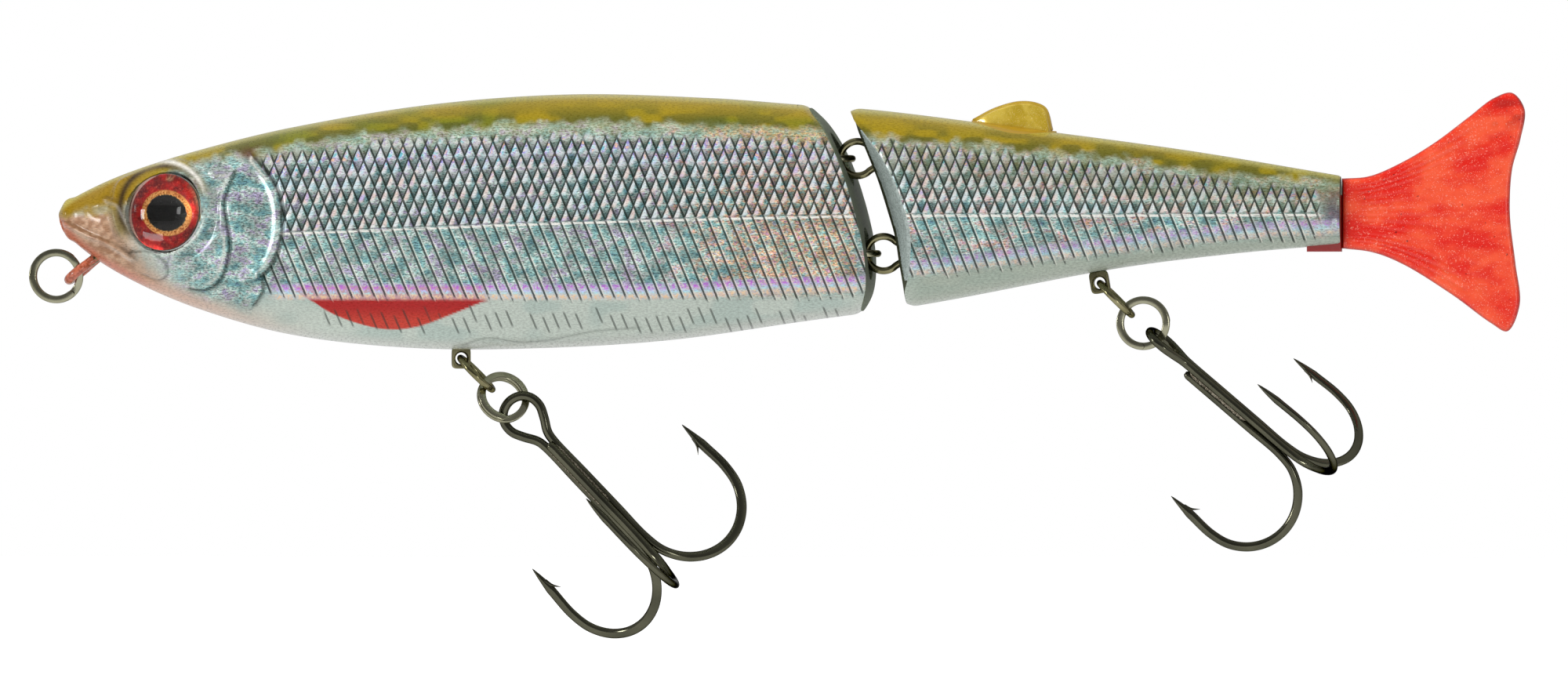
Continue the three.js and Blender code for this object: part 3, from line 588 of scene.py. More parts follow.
def add_scales(finish, fields, base):
    """Gives each scale of the net a painted highlight on its upper left and painted shade on its low side,
    and the upper rows a whiter painted sheen; returns the colour and the painted highlight.
    """
    a, b, net, hue, cloud = (fields[key] for key in ("a", "b", "net", "hue", "cloud"))
    rise = finish.math("SUBTRACT", a, b)
    near_tip = finish.ramp(finish.math("ADD", a, b), 1.42, 1.1)
    # Painted highlight: a bright patch on the upper left of each scale.
    scale_highlight = finish.times(finish.ramp(b, 0.62, 0.3), finish.ramp(rise, -0.25, 0.1), near_tip, net)
    height = finish.value("net_place")
    # On the upper rows the painted highlights take other hues.
    upper = finish.times(finish.ramp(height, 0.62, 0.8), finish.ramp(hue, 0.4, 0.55, 0.3, 1.0))
    highlight_hue = finish.stops(finish.noise(1.5, (2, 1, 1), 1.0, fields["where"]), SCALE_HIGHLIGHT_HUES)
    upper_highlight_hue = finish.stops(finish.noise(0.7, (1, 1, 1), 2.0, fields["where"]), UPPER_HIGHLIGHT_HUES)
    # Painted sheen: the upper rows made whiter in patches.
    painted_sheen = finish.times(finish.ramp(height, 0.35, 0.75), finish.ramp(cloud, 0.42, 0.62, 0.0, 0.55), net)
    base = finish.mix(painted_sheen, base, srgb(236, 232, 240))
    # Painted shade on the low side of each scale.
    base = finish.mix(finish.times(finish.ramp(rise, 0.1, -0.7), net, 0.75), base, srgb(62, 78, 76))
    return finish.mix(finish.times(scale_highlight, 0.85), base, finish.mix(upper, highlight_hue, upper_highlight_hue)), scale_highlight


def add_band(finish, fields, base):
    """The broken band of violet, blue and orange along the ends of the ribs."""
    hues = finish.stops(finish.value("band_place"), BAND_HUES)
    patchy = finish.noise(0.34, (1, 1, 1), 3.0, fields["where"], 0.6)
    between_ribs = finish.math("PINGPONG", finish.value("line_a"), 0.5)
    band = finish.times(finish.value("band"), finish.ramp(patchy, 0.42, 0.56, 0.06, 0.95),
                        finish.ramp(between_ribs, 0.1, 0.4, 0.3, 1.0))
    base = finish.mix(finish.times(finish.value("band"), 0.45), base, srgb(226, 226, 242))
    return finish.mix(band, base, hues)


def add_lines(finish, fields, base):
    """The dark lines of the net, ribs and ticks, the painted shade in the head's grooves with the varnish
    run, a painted highlight beside each rib line, and a pale thread below the lateral line.

    It returns the colour, and where the dark lines are.
    """
    a, net, rib, streak = (fields[key] for key in ("a", "net", "rib", "streak"))
    ragged = finish.ramp(fields["grain"], 0.3, 0.7, 0.02, 0.085)

    def on_line(name, half_width):
        gap = finish.math("PINGPONG", finish.value(name), 0.5)
        return finish.math("LESS_THAN", finish.math("SUBTRACT", gap, ragged), half_width)

    on_a, on_b = on_line("line_a", 0.04), on_line("line_b", 0.02)
    # Painted highlight: a pale line beside each rib line, on the side where a groove's lit wall would be.
    edge = finish.times(finish.ramp(a, 0.1, 0.14), finish.ramp(a, 0.26, 0.18), rib,
                        finish.ramp(fields["cloud"], 0.35, 0.6, 0.2, 0.75))
    base = finish.mix(edge, base, srgb(235, 232, 220))
    gap = finish.value("line_gap")
    thread = finish.times(finish.ramp(gap, -0.45, -0.32), finish.ramp(gap, -0.05, -0.16), rib,
                          finish.ramp(streak, 0.35, 0.5, 0.35, 1.0))
    base = finish.mix(thread, base, srgb(245, 243, 236))
    under = finish.times(finish.ramp(gap, -0.06, 0.0), finish.ramp(gap, 0.14, 0.08), net, 0.7)
    lines = finish.largest(
        finish.times(on_b, net), finish.times(on_a, finish.largest(net, rib)), finish.value("ink"),
        finish.times(on_a, finish.value("tick")), under,
    )
    return finish.mix(finish.times(lines, 0.88), base, srgb(28, 38, 30)), lines


def paint_finish():
    """Clear-coated foil and paint on the body, drawn from the numbers that the skin's points hold."""
    finish = Finish("foil_and_paint", Specular_IOR_Level=0.2, Coat_Weight=0.5, Coat_Roughness=0.09,
                    Coat_IOR=1.4)
    fields = skin_fields(finish)
    foil = foil_colour(finish, fields)
    tone = finish.grey(finish.ramp(fields["grain"], 0.3, 0.7, 0.8, 1.16))
    plain = finish.mix(1.0, finish.colour("paint"), tone, "MULTIPLY")
    base = finish.mix(finish.value("foil"), plain, foil)
    base, scale_highlight = add_scales(finish, fields, base)
    base = finish.mix(finish.value("tint"), base, srgb(150, 142, 40))
    base = add_band(finish, fields, base)
    base, lines = add_lines(finish, fields, base)
    finish.set("Base Color", base)
    finish.set("Metallic", finish.times(finish.value("foil"), 0.3))
    finish.set("Roughness", finish.ramp(fields["grain"], 0.3, 0.7, 0.22, 0.42))
    finish.bump(finish.math("SUBTRACT", finish.times(scale_highlight, 0.5), lines), 0.05, 0.5)
    return finish.material


def face_finish(name, colour, dark, roughness):
    """The matt, granular paint on the joint's faces."""
    finish = Finish(name)
    grain = finish.noise(0.22, detail=4.0)
    finish.set("Base Color", finish.mix(finish.ramp(grain, 0.35, 0.6), srgb(*dark), srgb(*colour)))
    finish.set("Roughness", finish.ramp(grain, 0.3, 0.7, roughness, roughness * 1.3))
    finish.bump(grain, 0.03, 0.6)
    return finish.material


def tie_finish():
    """Orange paint, worn through to bronze along the shank of the tie."""
    finish = Finish("worn_orange_paint", Coat_Weight=0.6, Coat_Roughness=0.08)
    wear = finish.noise(0.9, (1.6, 1, 0.8), 3.0)
    worn = finish.math("MULTIPLY", finish.ramp(wear, 0.5, 0.56), finish.value("worn"))
    mottled = finish.noise(0.35, detail=3.0)
    paint = finish.mix(finish.ramp(mottled, 0.35, 0.65), srgb(158, 76, 46), srgb(198, 106, 76))
    finish.set("Base Color", finish.mix(worn, paint, srgb(120, 104, 70)))
    finish.set("Metallic", worn)
    finish.set("Roughness", finish.ramp(mottled, 0.3, 0.7, 0.22, 0.4))
    finish.bump(mottled, 0.01, 0.3)
    return finish.material


def lens_finish():
    """Clear plastic."""
    finish = Finish("clear_dome", Base_Color=(1, 1, 1, 1), Transmission_Weight=1.0, IOR=1.3)
    faint = finish.noise(1.2, detail=2.0)
    finish.set("Roughness", finish.ramp(faint, 0.3, 0.7, 0.0, 0.03))
    return finish.material


def iris_finish():
    """A red foil disc with a stippled gold ring round a black pupil, painted highlights on the red and a pale
    line near its rim, and painted shade at the rim's edge.
    """
    finish = Finish("iris_print", Specular_IOR_Level=0.2)
    ring, rim = finish.value("ring_place"), finish.value("rim_place")
    stipple = finish.noise(0.2, detail=2.0, rough=0.8)
    patch = finish.noise(0.9, detail=2.0)
    red = finish.mix(finish.ramp(patch, 0.35, 0.65), srgb(120, 0, 2), srgb(200, 12, 8))
    red = finish.mix(finish.ramp(stipple, 0.56, 0.66, 0, 0.7), red, srgb(235, 90, 60))
    gold = finish.mix(finish.ramp(stipple, 0.4, 0.6), srgb(205, 100, 30), srgb(250, 190, 105))
    uneven = finish.math("ADD", ring, finish.ramp(stipple, 0.3, 0.7, -0.03, 0.03))
    colour = finish.mix(finish.ramp(uneven, 1.16, 1.2), gold, red)
    colour = finish.mix(finish.ramp(uneven, 0.96, 0.93), colour, srgb(14, 13, 11))
    # Painted highlights on the red.
    iris_highlight = finish.math("MULTIPLY", finish.value("iris_highlight"), finish.ramp(stipple, 0.35, 0.6, 0.35, 1.0))
    colour = finish.mix(iris_highlight, colour, srgb(255, 214, 160))
    # A painted highlight in a pale line near the rim, then painted shade at the rim's edge, where the socket
    # shades it.
    colour = finish.mix(finish.ramp(rim, 0.885, 0.895), colour, srgb(222, 176, 160))
    colour = finish.mix(finish.ramp(rim, 0.915, 0.925), colour, srgb(44, 36, 22))
    finish.set("Base Color", colour)
    finish.set("Metallic", finish.ramp(uneven, 0.93, 0.98, 0.0, 0.45))
    finish.set("Roughness", finish.ramp(stipple, 0.3, 0.7, 0.25, 0.45))
    finish.bump(stipple, 0.03, 0.4)
    return finish.material


def tail_finish():
    """Soft translucent red plastic with fine bubbles, flecks and a few dark specks."""
    finish = Finish("red_soft_plastic", Subsurface_Weight=0.35, Subsurface_Scale=0.0015, Coat_Weight=0.3,
                    Coat_Roughness=0.12)
    finish.shader.inputs["Subsurface Radius"].default_value = (1.0, 0.15, 0.1)
    cloudy = finish.noise(3.2, (1.6, 1, 1), 3.0)
    fleck = finish.noise(0.16, detail=1.0)
    specks = finish.noise(0.55, detail=2.0)
    red = finish.mix(finish.ramp(cloudy, 0.35, 0.65), srgb(232, 28, 8), srgb(255, 92, 50))
    red = finish.mix(finish.ramp(fleck, 0.62, 0.7, 0, 0.5), red, srgb(255, 190, 170))
    red = finish.mix(finish.ramp(specks, 0.7, 0.74, 0, 0.8), red, srgb(110, 12, 10))
    # The edge value darkens the red: the darker edge, the stain and the tongue, and painted shade at the root
    # and between the rays.
    red = finish.mix(finish.value("edge"), red, srgb(150, 18, 14))
    finish.set("Base Color", red)
    finish.set("Roughness", finish.ramp(cloudy, 0.3, 0.7, 0.28, 0.45))
    finish.bump(fleck, 0.03, 0.4)
    return finish.material


def gold_finish():
    """Gold pearl paint with fine bright flakes."""
    finish = Finish("gold_pearl", Coat_Weight=0.8, Coat_Roughness=0.1, Metallic=0.35)
    flake = finish.noise(0.14, detail=2.0, rough=0.8)
    cloudy = finish.noise(1.8, detail=3.0)
    gold = finish.mix(finish.ramp(cloudy, 0.35, 0.65), srgb(204, 170, 34), srgb(232, 202, 76))
    gold = finish.mix(finish.ramp(flake, 0.58, 0.66, 0, 0.75), gold, srgb(245, 225, 140))
    # Darker gold where the edge value is high: along the fin's rim, and as painted shade over the pad below
    # it.
    finish.set("Base Color", finish.mix(finish.value("edge"), gold, srgb(190, 150, 14)))
    finish.set("Roughness", finish.ramp(flake, 0.3, 0.7, 0.28, 0.48))
    finish.bump(flake, 0.02, 0.4)
    return finish.material


# ---- the body's skins ----
back_line = through(BACK)
belly_line = through(BELLY)
half_width = through(HALF_WIDTH)
lateral_line = through(LATERAL_LINE)
net_top = through(NET_TOP)
rib_end = through(RIB_END)
olive_edge = through(OLIVE_EDGE)


def face_at(face):
    """How far back a steep line, such as a joint face, is at each height."""
    return through([(z, x) for x, z in reversed(face)])


front_face = face_at(FRONT_FACE)
rear_face = face_at(REAR_FACE)


def rear_bevel(y):
    """How far the rear section's front face falls back at a distance from the mid-plane."""
    past = np.abs(y) - REAR_BEVEL["start"]
    return REAR_BEVEL["slope"] * (np.hypot(past, REAR_BEVEL["round"]) + past) / 2


def section_point(x, angle):
    """Half width and height on the body at a distance from the nose and an angle round the section."""
    top, bottom = back_line(x), belly_line(x)
    middle = bottom + (top - bottom) * WIDEST
    c, s = np.clip(np.cos(angle), 0, 1), np.sin(angle)
    power = 2 / SQUARENESS
    reach = np.where(s > 0, top - middle, middle - bottom)
    return half_width(x) * c**power, middle + reach * np.sign(s) * np.abs(s) ** power


def body_grid(stations, angles, start_face=None, end_face=None):
    """Points on the right half of the body; its ends follow the joint's faces."""
    base = np.repeat(stations[:, None], len(angles), 1)
    angle = np.repeat(angles[None], len(stations), 0)
    x = base.copy()
    for _ in range(FACE_ROUNDS):
        y, z = section_point(x, angle)
        if end_face is not None:
            share = smoothstep(stations[-1] - FACE_BLEND, stations[-1], base)
            x = base + share * (end_face(y, z) - stations[-1])
        if start_face is not None:
            share = 1 - smoothstep(stations[0], stations[0] + FACE_BLEND, base)
            x = base + share * (start_face(y, z) - stations[0])
    y, z = section_point(x, angle)
    return np.stack([x, y, z], -1)


def grid_normals(points):
    """Unit normals of a grid on the right half, pointing outwards."""
    along = np.gradient(points, axis=0)
    round_it = np.gradient(points, axis=1)
    normals = np.cross(along, round_it)
    length = np.linalg.norm(normals, axis=-1, keepdims=True)
    normals = normals / np.where(length < 1e-9, 1, length)
    normals[normals[..., 1] < -0.2] *= -1
    return normals


def eye_axis(side):
    return unit([-EYE["forward"], side, EYE["up"]])


def eye_spot(side, out):
    return np.array([EYE["x"], side * EYE["floor"], EYE["z"]]) + eye_axis(side) * out


def eye_distance(points):
    """Distance from the right eye's axis, and height along it, for points of the right half."""
    offset = points - eye_spot(1, 0)
    out = offset @ eye_axis(1)
    return np.linalg.norm(offset - out[..., None] * eye_axis(1), axis=-1), out


def pattern_place(points):
    """Where a point of the right half lies in the flank's pattern: along the body, and its height."""
    return points[..., 0] - PATTERN_LEAN * points[..., 1], points[..., 2]


def scale_lines(u, z):
    """The two families of scale lines, counted along the body: one leans back going down, one going up."""
    height = z - lateral_line(u)
    return (u + SCALE_LEAN * height) / SCALE_PITCH, (u - SCALE_LEAN * height) / SCALE_PITCH


def behind_gill(u, z):
    """1 behind the gill cover, 0 on the head."""
    top, bottom = GILL_EDGE[0][1], GILL_EDGE[-1][1]
    edge = face_at(GILL_EDGE)
    throat = through(GILL_THROAT)
    place = np.where(z > bottom, edge(np.clip(z, bottom, top)), throat(z))
    place = place - np.clip(z - top, 0, 9) * 0.6
    return smoothstep(place - 0.15, place + 0.15, u)


def head_relief(points, u, z):
    """How far the head's sculpting stands out: orbit, gill plates, jaw and creases."""
    relief = np.zeros(u.shape)
    from_orbit = np.hypot(u - ORBIT["x"], z - ORBIT["z"])
    below_top = smoothstep(0.15, 1.5, back_line(points[..., 0]) - z)
    relief += 0.62 * bump_at(from_orbit - ORBIT["ridge"], 0.6) * below_top
    relief -= 0.25 * bump_at(from_orbit - ORBIT["groove"], 0.5) * below_top
    for line, raised, sunk, width in PLATES:
        distance, side = line_distance(u, z, line)
        ridge = raised * bump_at(distance - width, 0.75)
        groove = sunk * bump_at(distance - 0.2, width)
        relief += np.where(side < 0, ridge, -groove)
    distance, side = line_distance(u, z, JAW_LOBE)
    relief += 0.25 * bump_at(distance, 0.8) * (side < 0) - 0.2 * bump_at(distance, 0.25)
    for crease in CREASES:
        distance, _ = line_distance(u, z, crease)
        relief += 0.2 * bump_at(distance, 0.3) - 0.1 * bump_at(distance - 0.6, 0.3)
    relief -= 0.35 * bump_at(np.hypot((u - NOSTRIL["x"]) / NOSTRIL["long"], z - NOSTRIL["z"]), 0.5)
    return relief


def scale_relief(u, z, net, rib):
    """How far the scales and ribs stand out from the skin."""
    a, b = scale_lines(u, z)
    a, b = a % 1, b % 1
    dome = np.sqrt(np.clip(np.sin(math.pi * a) * np.sin(math.pi * b), 0, 1))
    ridge = np.clip(np.sin(math.pi * a), 0, 1) ** 0.6
    return 0.13 * net * (dome - 0.3) + 0.07 * rib * (ridge - 0.4)


def pattern_masks(u, z):
    """Where the net of scales and the ribs below it are drawn, from 0 to 1."""
    behind = behind_gill(u, z)
    line = lateral_line(u)
    ragged = 1.2 * blotches(u, z, 0.9, 3)
    net = behind * smoothstep(-0.05, 0.05, z - line) * smoothstep(0.6, -0.4, z - net_top(u) - ragged + 0.3)
    length = blotches(np.floor((u + SCALE_LEAN * (z - line)) / SCALE_PITCH), 0 * z, 1.0, 8)
    rib = behind * (z < line) * smoothstep(-0.35, 0.05, z - rib_end(u) + 0.9 * length)
    ends = smoothstep(TAIL_ROOT - 2.2, TAIL_ROOT - 3.2, u)
    return net * ends, rib * ends


class Skin:
    """The paint of the right half, laid on coat by coat, and how much of the foil shows; it also holds
    painted shade and painted highlights on the head and a painted highlight along the crest of the back.
    """

    def __init__(self, points):
        self.u, self.z = pattern_place(points)
        self.x = points[..., 0]
        self.in_front = self.x < FRONT_END
        self.below_top = back_line(self.x) - self.z
        self.above_belly = self.z - belly_line(self.x)
        self.above_olive = self.z - olive_edge(self.u)
        self.behind = behind_gill(self.u, self.z)
        mottle = self.blotch(1.3, 1) + 0.5 * self.blotch(0.5, 2) - 0.75
        self.olive = smoothstep(-0.9, 0.9, self.above_olive + 1.1 * mottle)
        self.paint = np.zeros((*self.u.shape, 3)) + np.array(srgb(*SKIN_COLOURS["silver"])[:3])
        self.foil = np.zeros(self.u.shape)
        self.paint_belly()
        self.paint_jaw()
        self.lay_foil()
        self.paint_orbit()
        self.paint_back()
        self.paint_plates()
        self.paint_red_patch()
        self.paint_tail_root()

    def blotch(self, size, seed, stretch=1):
        """Smooth random values over the skin, drawn out along the body by stretch."""
        return blotches(self.u / stretch, self.z, size, seed)

    def coat(self, colour, share):
        """Covers a share of the skin with a colour."""
        colour = np.array(srgb(*SKIN_COLOURS[colour])[:3])
        self.paint = self.paint + (colour - self.paint) * np.clip(share, 0, 1)[..., None]

    def hide_foil(self, share):
        self.foil = self.foil * (1 - share)

    def paint_belly(self):
        self.coat("sea_green", smoothstep(0.4, 0.7, self.blotch(1.6, 4, 1.6)) * 0.7)
        self.coat("low_belly", smoothstep(1.6, 0.3, self.above_belly))
        self.coat("rear_flank", smoothstep(100, 108, self.x) * 0.6)

    def paint_jaw(self):
        """The flesh colours on the throat, the jaw and the chin."""
        throat = smoothstep(34, 12, self.u) * smoothstep(3.6, 0.6, self.above_belly)
        self.coat("throat", throat * 0.85)
        jaw = smoothstep(12.5, 6.5, self.u + 0.5 * (self.z + 4)) * smoothstep(0.3, -0.6, self.above_olive)
        self.coat("jaw", jaw * smoothstep(0.4, 1.6, self.above_belly))
        self.coat("pale_jaw", jaw * smoothstep(0.3, 0.7, self.blotch(0.45, 12)) * 0.6)
        self.coat("chin", smoothstep(14, 8, self.u) * smoothstep(1.8, 0.5, self.above_belly))

    def lay_foil(self):
        """Foil on the flank and the cheek, but not on the olive back."""
        flank = smoothstep(-1.0, 0.8, self.z - rib_end(self.u)) * self.behind
        cheek = smoothstep(8, 15, self.u + 0.4 * self.z) * smoothstep(0.8, 3.4, self.above_belly)
        self.foil = np.maximum(flank, (1 - self.behind) * cheek)
        self.hide_foil(self.olive)

    def paint_orbit(self):
        """The ridge round the eye: a brown brow, painted shade in the recess towards the snout, and painted
        highlights on the ridge above and below.
        """
        across, up = self.u - ORBIT["x"], self.z - ORBIT["z"]
        distance = np.hypot(across, up)

        def toward(along, height, low, high):
            return smoothstep(low, high, (along * across + height * up) / np.maximum(distance, 0.1))

        brow = smoothstep(1.4, 0.3, np.abs(distance - 5.6)) * smoothstep(-1.6, 1.0, self.z - 0.5 * across)
        self.hide_foil(0.75 * brow)
        self.coat("brow", brow * 0.95)
        on_head = smoothstep(0.1, 0.9, self.below_top)
        # Painted shade in the recess between the eye and the ridge, towards the snout.
        self.recess_shade = bump_at(distance - 5.15, 0.42) * toward(-0.78, 0.62, -0.2, 0.7) * on_head
        # Painted highlights on the ridge, above and below the eye.
        above = bump_at(distance - 5.7, 0.3) * toward(0.5, 0.86, 0.6, 1.0)
        below = bump_at(distance - 5.5, 0.3) * toward(0.6, -0.8, 0.5, 1.0)
        self.painted_highlight = np.maximum(above, 0.8 * below)

    def paint_back(self):
        """The olive back: browner on the snout, with green and dark blotches, and a painted highlight along
        its crest.
        """
        u, olive = self.u, self.olive
        self.coat("olive", olive)
        self.coat("snout", olive * smoothstep(15, 7, u) * 0.8)
        less_behind = 0.35 + 0.65 * smoothstep(99, 96, self.x)
        green = smoothstep(0.15, 0.85, self.blotch(1.6, 5, 3)) * less_behind * smoothstep(10, 22, u)
        self.coat("green", olive * green)
        dark = smoothstep(3.4, 0.2, self.above_olive) * smoothstep(0.3, 0.62, self.blotch(0.9, 6, 2.2))
        self.coat("dark_olive", olive * dark * (u > 20) * 0.8)
        # Painted highlight: the olive made paler along the top of the back.
        self.coat("crest_highlight", olive * smoothstep(0.9, 0.1, self.below_top) * 0.6)
        spot = bump_at(np.hypot((u - 24) / 1.5, self.z - 7.3), 1.1)
        spot = spot * smoothstep(0.2, 0.6, self.blotch(0.5, 7) + 0.25)
        self.coat("rust", spot)
        self.hide_foil(spot)

    def paint_plates(self):
        """Painted highlights along the inner side of the gill cover's and the cheek's edges and beside the
        head's creases, and painted shade on the other side of each crease.
        """
        uneven = smoothstep(0.25, 0.7, self.blotch(1.5, 13))
        for line in (GILL_EDGE, CHEEK_EDGE):
            distance, side = line_distance(self.u, self.z, line)
            self.painted_highlight = np.maximum(self.painted_highlight, 0.75 * uneven * bump_at(distance - 0.5, 0.2) * (side < 0))
        strength = 0.2 + 0.35 * (self.u > 15)
        for crease in CREASES:
            distance, side = line_distance(self.u, self.z, crease)
            self.painted_highlight = np.maximum(self.painted_highlight, strength * bump_at(distance - 0.3, 0.22) * (side < 0))
            self.recess_shade = np.maximum(self.recess_shade, 0.4 * bump_at(distance - 0.3, 0.28) * (side > 0))
        self.coat("recess_shade", self.recess_shade)
        self.coat("painted_highlight", self.painted_highlight)
        self.hide_foil(self.recess_shade)
        self.hide_foil(0.85 * self.painted_highlight)

    def paint_red_patch(self):
        """The red patch of the belly fins."""
        start, end = RED_BOTTOM[0][0], RED_BOTTOM[-1][0]
        above = smoothstep(-0.08, 0.08, self.z - through(RED_BOTTOM)(np.clip(self.u, start, end)))
        ends = smoothstep(start - 0.1, start + 0.4, self.u) * smoothstep(end + 1.0, end - 0.4, self.u)
        self.red = above * smoothstep(0.1, -0.1, self.z - RED_TOP) * ends
        self.coat("red", self.red)
        self.coat("light_red", self.red * smoothstep(-11, -13.2, self.z) * 0.8)
        self.hide_foil(self.red * 0.93)

    def paint_tail_root(self):
        """A violet blotch just before the tail."""
        height = smoothstep(3.6, 2.6, self.z) * smoothstep(-2.2, -1.2, self.z)
        ragged = smoothstep(0.3, 0.6, self.blotch(0.8, 9) + 0.15)
        violet = smoothstep(153.5, 156.5, self.u) * height * ragged
        self.coat("violet", violet)
        self.hide_foil(0.8 * violet)

    def tint(self):
        """How much the olive has strayed over the foil below it."""
        reach = np.where(self.in_front, 3.6, 7.0)
        return 0.42 * smoothstep(-reach, 0.4, self.above_olive) * (1 - self.olive) * self.behind

    def band(self):
        """How strong the coloured band along the ends of the ribs is, and the height of its middle."""
        middle = np.where(self.in_front, -9.35 + 0.9 * smoothstep(70, 97, self.u), rib_end(self.u) + 0.7)
        strength = smoothstep(25.5, 28, self.u) * np.where(self.in_front, 1.0, 0.55)
        return strength * smoothstep(1.15, 0.7, np.abs(self.z - middle)) * self.behind, middle

    def ticks(self, rib_number):
        """Short strokes below the band, and the ribs that show through the red."""
        start = -10.9 - 1.6 * blotches(rib_number, 0 * self.z, 1.0, 10)
        drawn = blotches(rib_number * 1.37, 0 * self.z, 1.0, 11) > 0.22
        below = self.z - start
        stroke = smoothstep(0, -0.3, below) * smoothstep(-2.3, -1.8, below)
        strokes = 0.75 * drawn * stroke * (self.x < 97) * (self.u > 33)
        return np.maximum(strokes, 0.55 * self.red * (below < 0))

    def ink(self):
        """Painted shade in the grooves outside the head's plates and along the jaw's lobe, and the dark run
        in the varnish.
        """
        distance, _ = line_distance(self.u, self.z, VARNISH_RUN)
        ink = 0.4 * bump_at(distance, 0.12)
        for line in (GILL_EDGE, GILL_NOTCH, CHEEK_EDGE):
            distance, side = line_distance(self.u, self.z, line)
            ink = np.maximum(ink, 0.85 * bump_at(distance - 0.12, 0.17) * (side > 0))
        distance, _ = line_distance(self.u, self.z, JAW_LOBE)
        return np.maximum(ink, 0.35 * bump_at(distance, 0.2))


def skin_values(points):
    """The numbers that the body's paint is drawn from, at each point of the right half."""
    skin = Skin(points)
    u, z = skin.u, skin.z
    net, rib = pattern_masks(u, z)
    line_a, line_b = scale_lines(u, z)
    line_gap = z - lateral_line(u)
    band, middle = skin.band()
    return {
        "along": u,
        "height": z,
        "paint": skin.paint,
        "foil": skin.foil,
        "net": net * (1 - skin.olive),
        "net_place": line_gap / (net_top(u) - lateral_line(u)),
        "rib": rib,
        "line_a": line_a,
        "line_b": line_b,
        "line_gap": line_gap,
        "band": band,
        "band_place": np.clip((z - middle) / 2.2 + 0.5, 0, 1),
        "tint": skin.tint(),
        "warm": np.where(skin.in_front, smoothstep(68, 92, u), 0.3),
        "ink": skin.ink(),
        "tick": skin.ticks(np.floor(line_a + 0.5)),
    }


def sculpted(points, is_front):
    """The right half's grid with its scales, gills and eye socket raised and sunk."""
    u, z = pattern_place(points)
    net, rib = pattern_masks(u, z)
    relief = scale_relief(u, z, net, rib)
    line_gap = z - lateral_line(u)
    relief += 0.05 * bump_at(line_gap, 0.2) * behind_gill(u, z)
    if is_front:
        relief += head_relief(points, u, z) * smoothstep(31, 28, u)
    normals = grid_normals(points)
    flank = smoothstep(0.06, 0.36, points[..., 1] / half_width(points[..., 0]))
    moved = points + normals * (relief * flank)[..., None]
    if is_front:
        distance, out = eye_distance(moved)
        near = 1 - smoothstep(EYE["socket"] - 0.08, EYE["socket"] + 0.12, distance)
        near = near * (points[..., 1] > 2)
        moved -= eye_axis(1) * ((out - 0.1) * near)[..., None]
    return moved


def rounded_rim(points, row, reach=1.1, depth=0.32):
    """Pulls the skin in a little at a joint's face, so that its edge is rounded."""
    gap = np.linalg.norm(points - points[row][None], axis=-1)
    share = np.clip(1 - gap / reach, 0, 1) ** 2
    middle = points[..., 2].mean(1, keepdims=True)
    points[..., 1] -= depth * share * np.clip(points[..., 1] / 3, 0, 1)
    points[..., 2] -= depth * share * np.clip((points[..., 2] - middle) / 6, -1, 1)
    return points


def end_cap(rim, rim_ids, start, depth_of):
    """Closes an end of a half from its rim in to the mid-plane: points, their numbers and each quad's y."""
    share = np.linspace(0, 1, CAP_STEPS + 1)[:, None]
    y = rim[None, :, 1] * (1 - share) + SEAM * share
    z = np.repeat(rim[None, :, 2], CAP_STEPS, 0)
    x = depth_of(y[1:], z)
    ids = np.vstack([rim_ids, numbered(*x.shape, start)])
    points = np.stack([x, y[1:], z], -1).reshape(-1, 3)
    return points, ids, (y[:-1, :-1] + y[1:, 1:]) / 2


def held_values(values, count):
    """The values of a grid's points as one row for each, with zeros for the points after them."""
    held = {}
    for key, data in values.items():
        rows = data.reshape(-1, *data.shape[2:])
        held[key] = np.concatenate([rows, np.zeros((count - len(rows), *rows.shape[1:]))])
    return held


def half_body(name, grid, caps, body, shell, side, materials):
    """A closed half of a section: its outer grid, end caps and flat seam; side is -1 or +1."""
    grid[:, (0, -1), 1] = SEAM
    grid[..., 1] = np.maximum(grid[..., 1], SEAM)
    index = numbered(*grid.shape[:2])
    points, faces = [grid.reshape(-1, 3)], [quads_of(index)]
    kinds = [np.full(len(faces[0]), PAINTED)]
    seam_ends = {0: index[0], -1: index[-1]}
    for row, depth_of, inner_kind, outer_kind in caps:
        start = sum(len(some) for some in points)
        cap_points, ids, quad_y = end_cap(grid[row], index[row], start, depth_of)
        quads = quads_of(ids)
        points.append(cap_points)
        faces.append(quads[:, ::-1] if row == 0 else quads)
        # Near the mid-plane a cap takes its inner kind; on the rear face that is the painted shade.
        kinds.append(np.where(quad_y > REAR_BEVEL["dark"], outer_kind, inner_kind).ravel())
        seam_ends[row] = ids[-1]
    seam = [*seam_ends[0], *index[:, -1], *seam_ends[-1][::-1], *index[::-1, 0]]
    faces = np.vstack(faces).tolist() + [list(dict.fromkeys(seam))]
    if side < 0:
        faces = [face[::-1] for face in faces]
    kinds = np.concatenate([*kinds, [GRANULAR]])
    points = np.vstack(points)
    values = held_values(skin_values(grid), len(points))
    points[:, 1] *= side
    make_piece(name, points, faces, body, materials, [shell], "foil_shell", 40, kinds, values)


def graded(stops):
    """Stations with a spacing that changes: stops are (start, end, spacing)."""
    parts = [np.arange(start, end - spacing / 2, spacing) for start, end, spacing in stops]
    return np.concatenate(parts + [[stops[-1][1]]])


def front_end(_, z):
    """The front section's rear face, before its pockets."""
    return front_face(z)


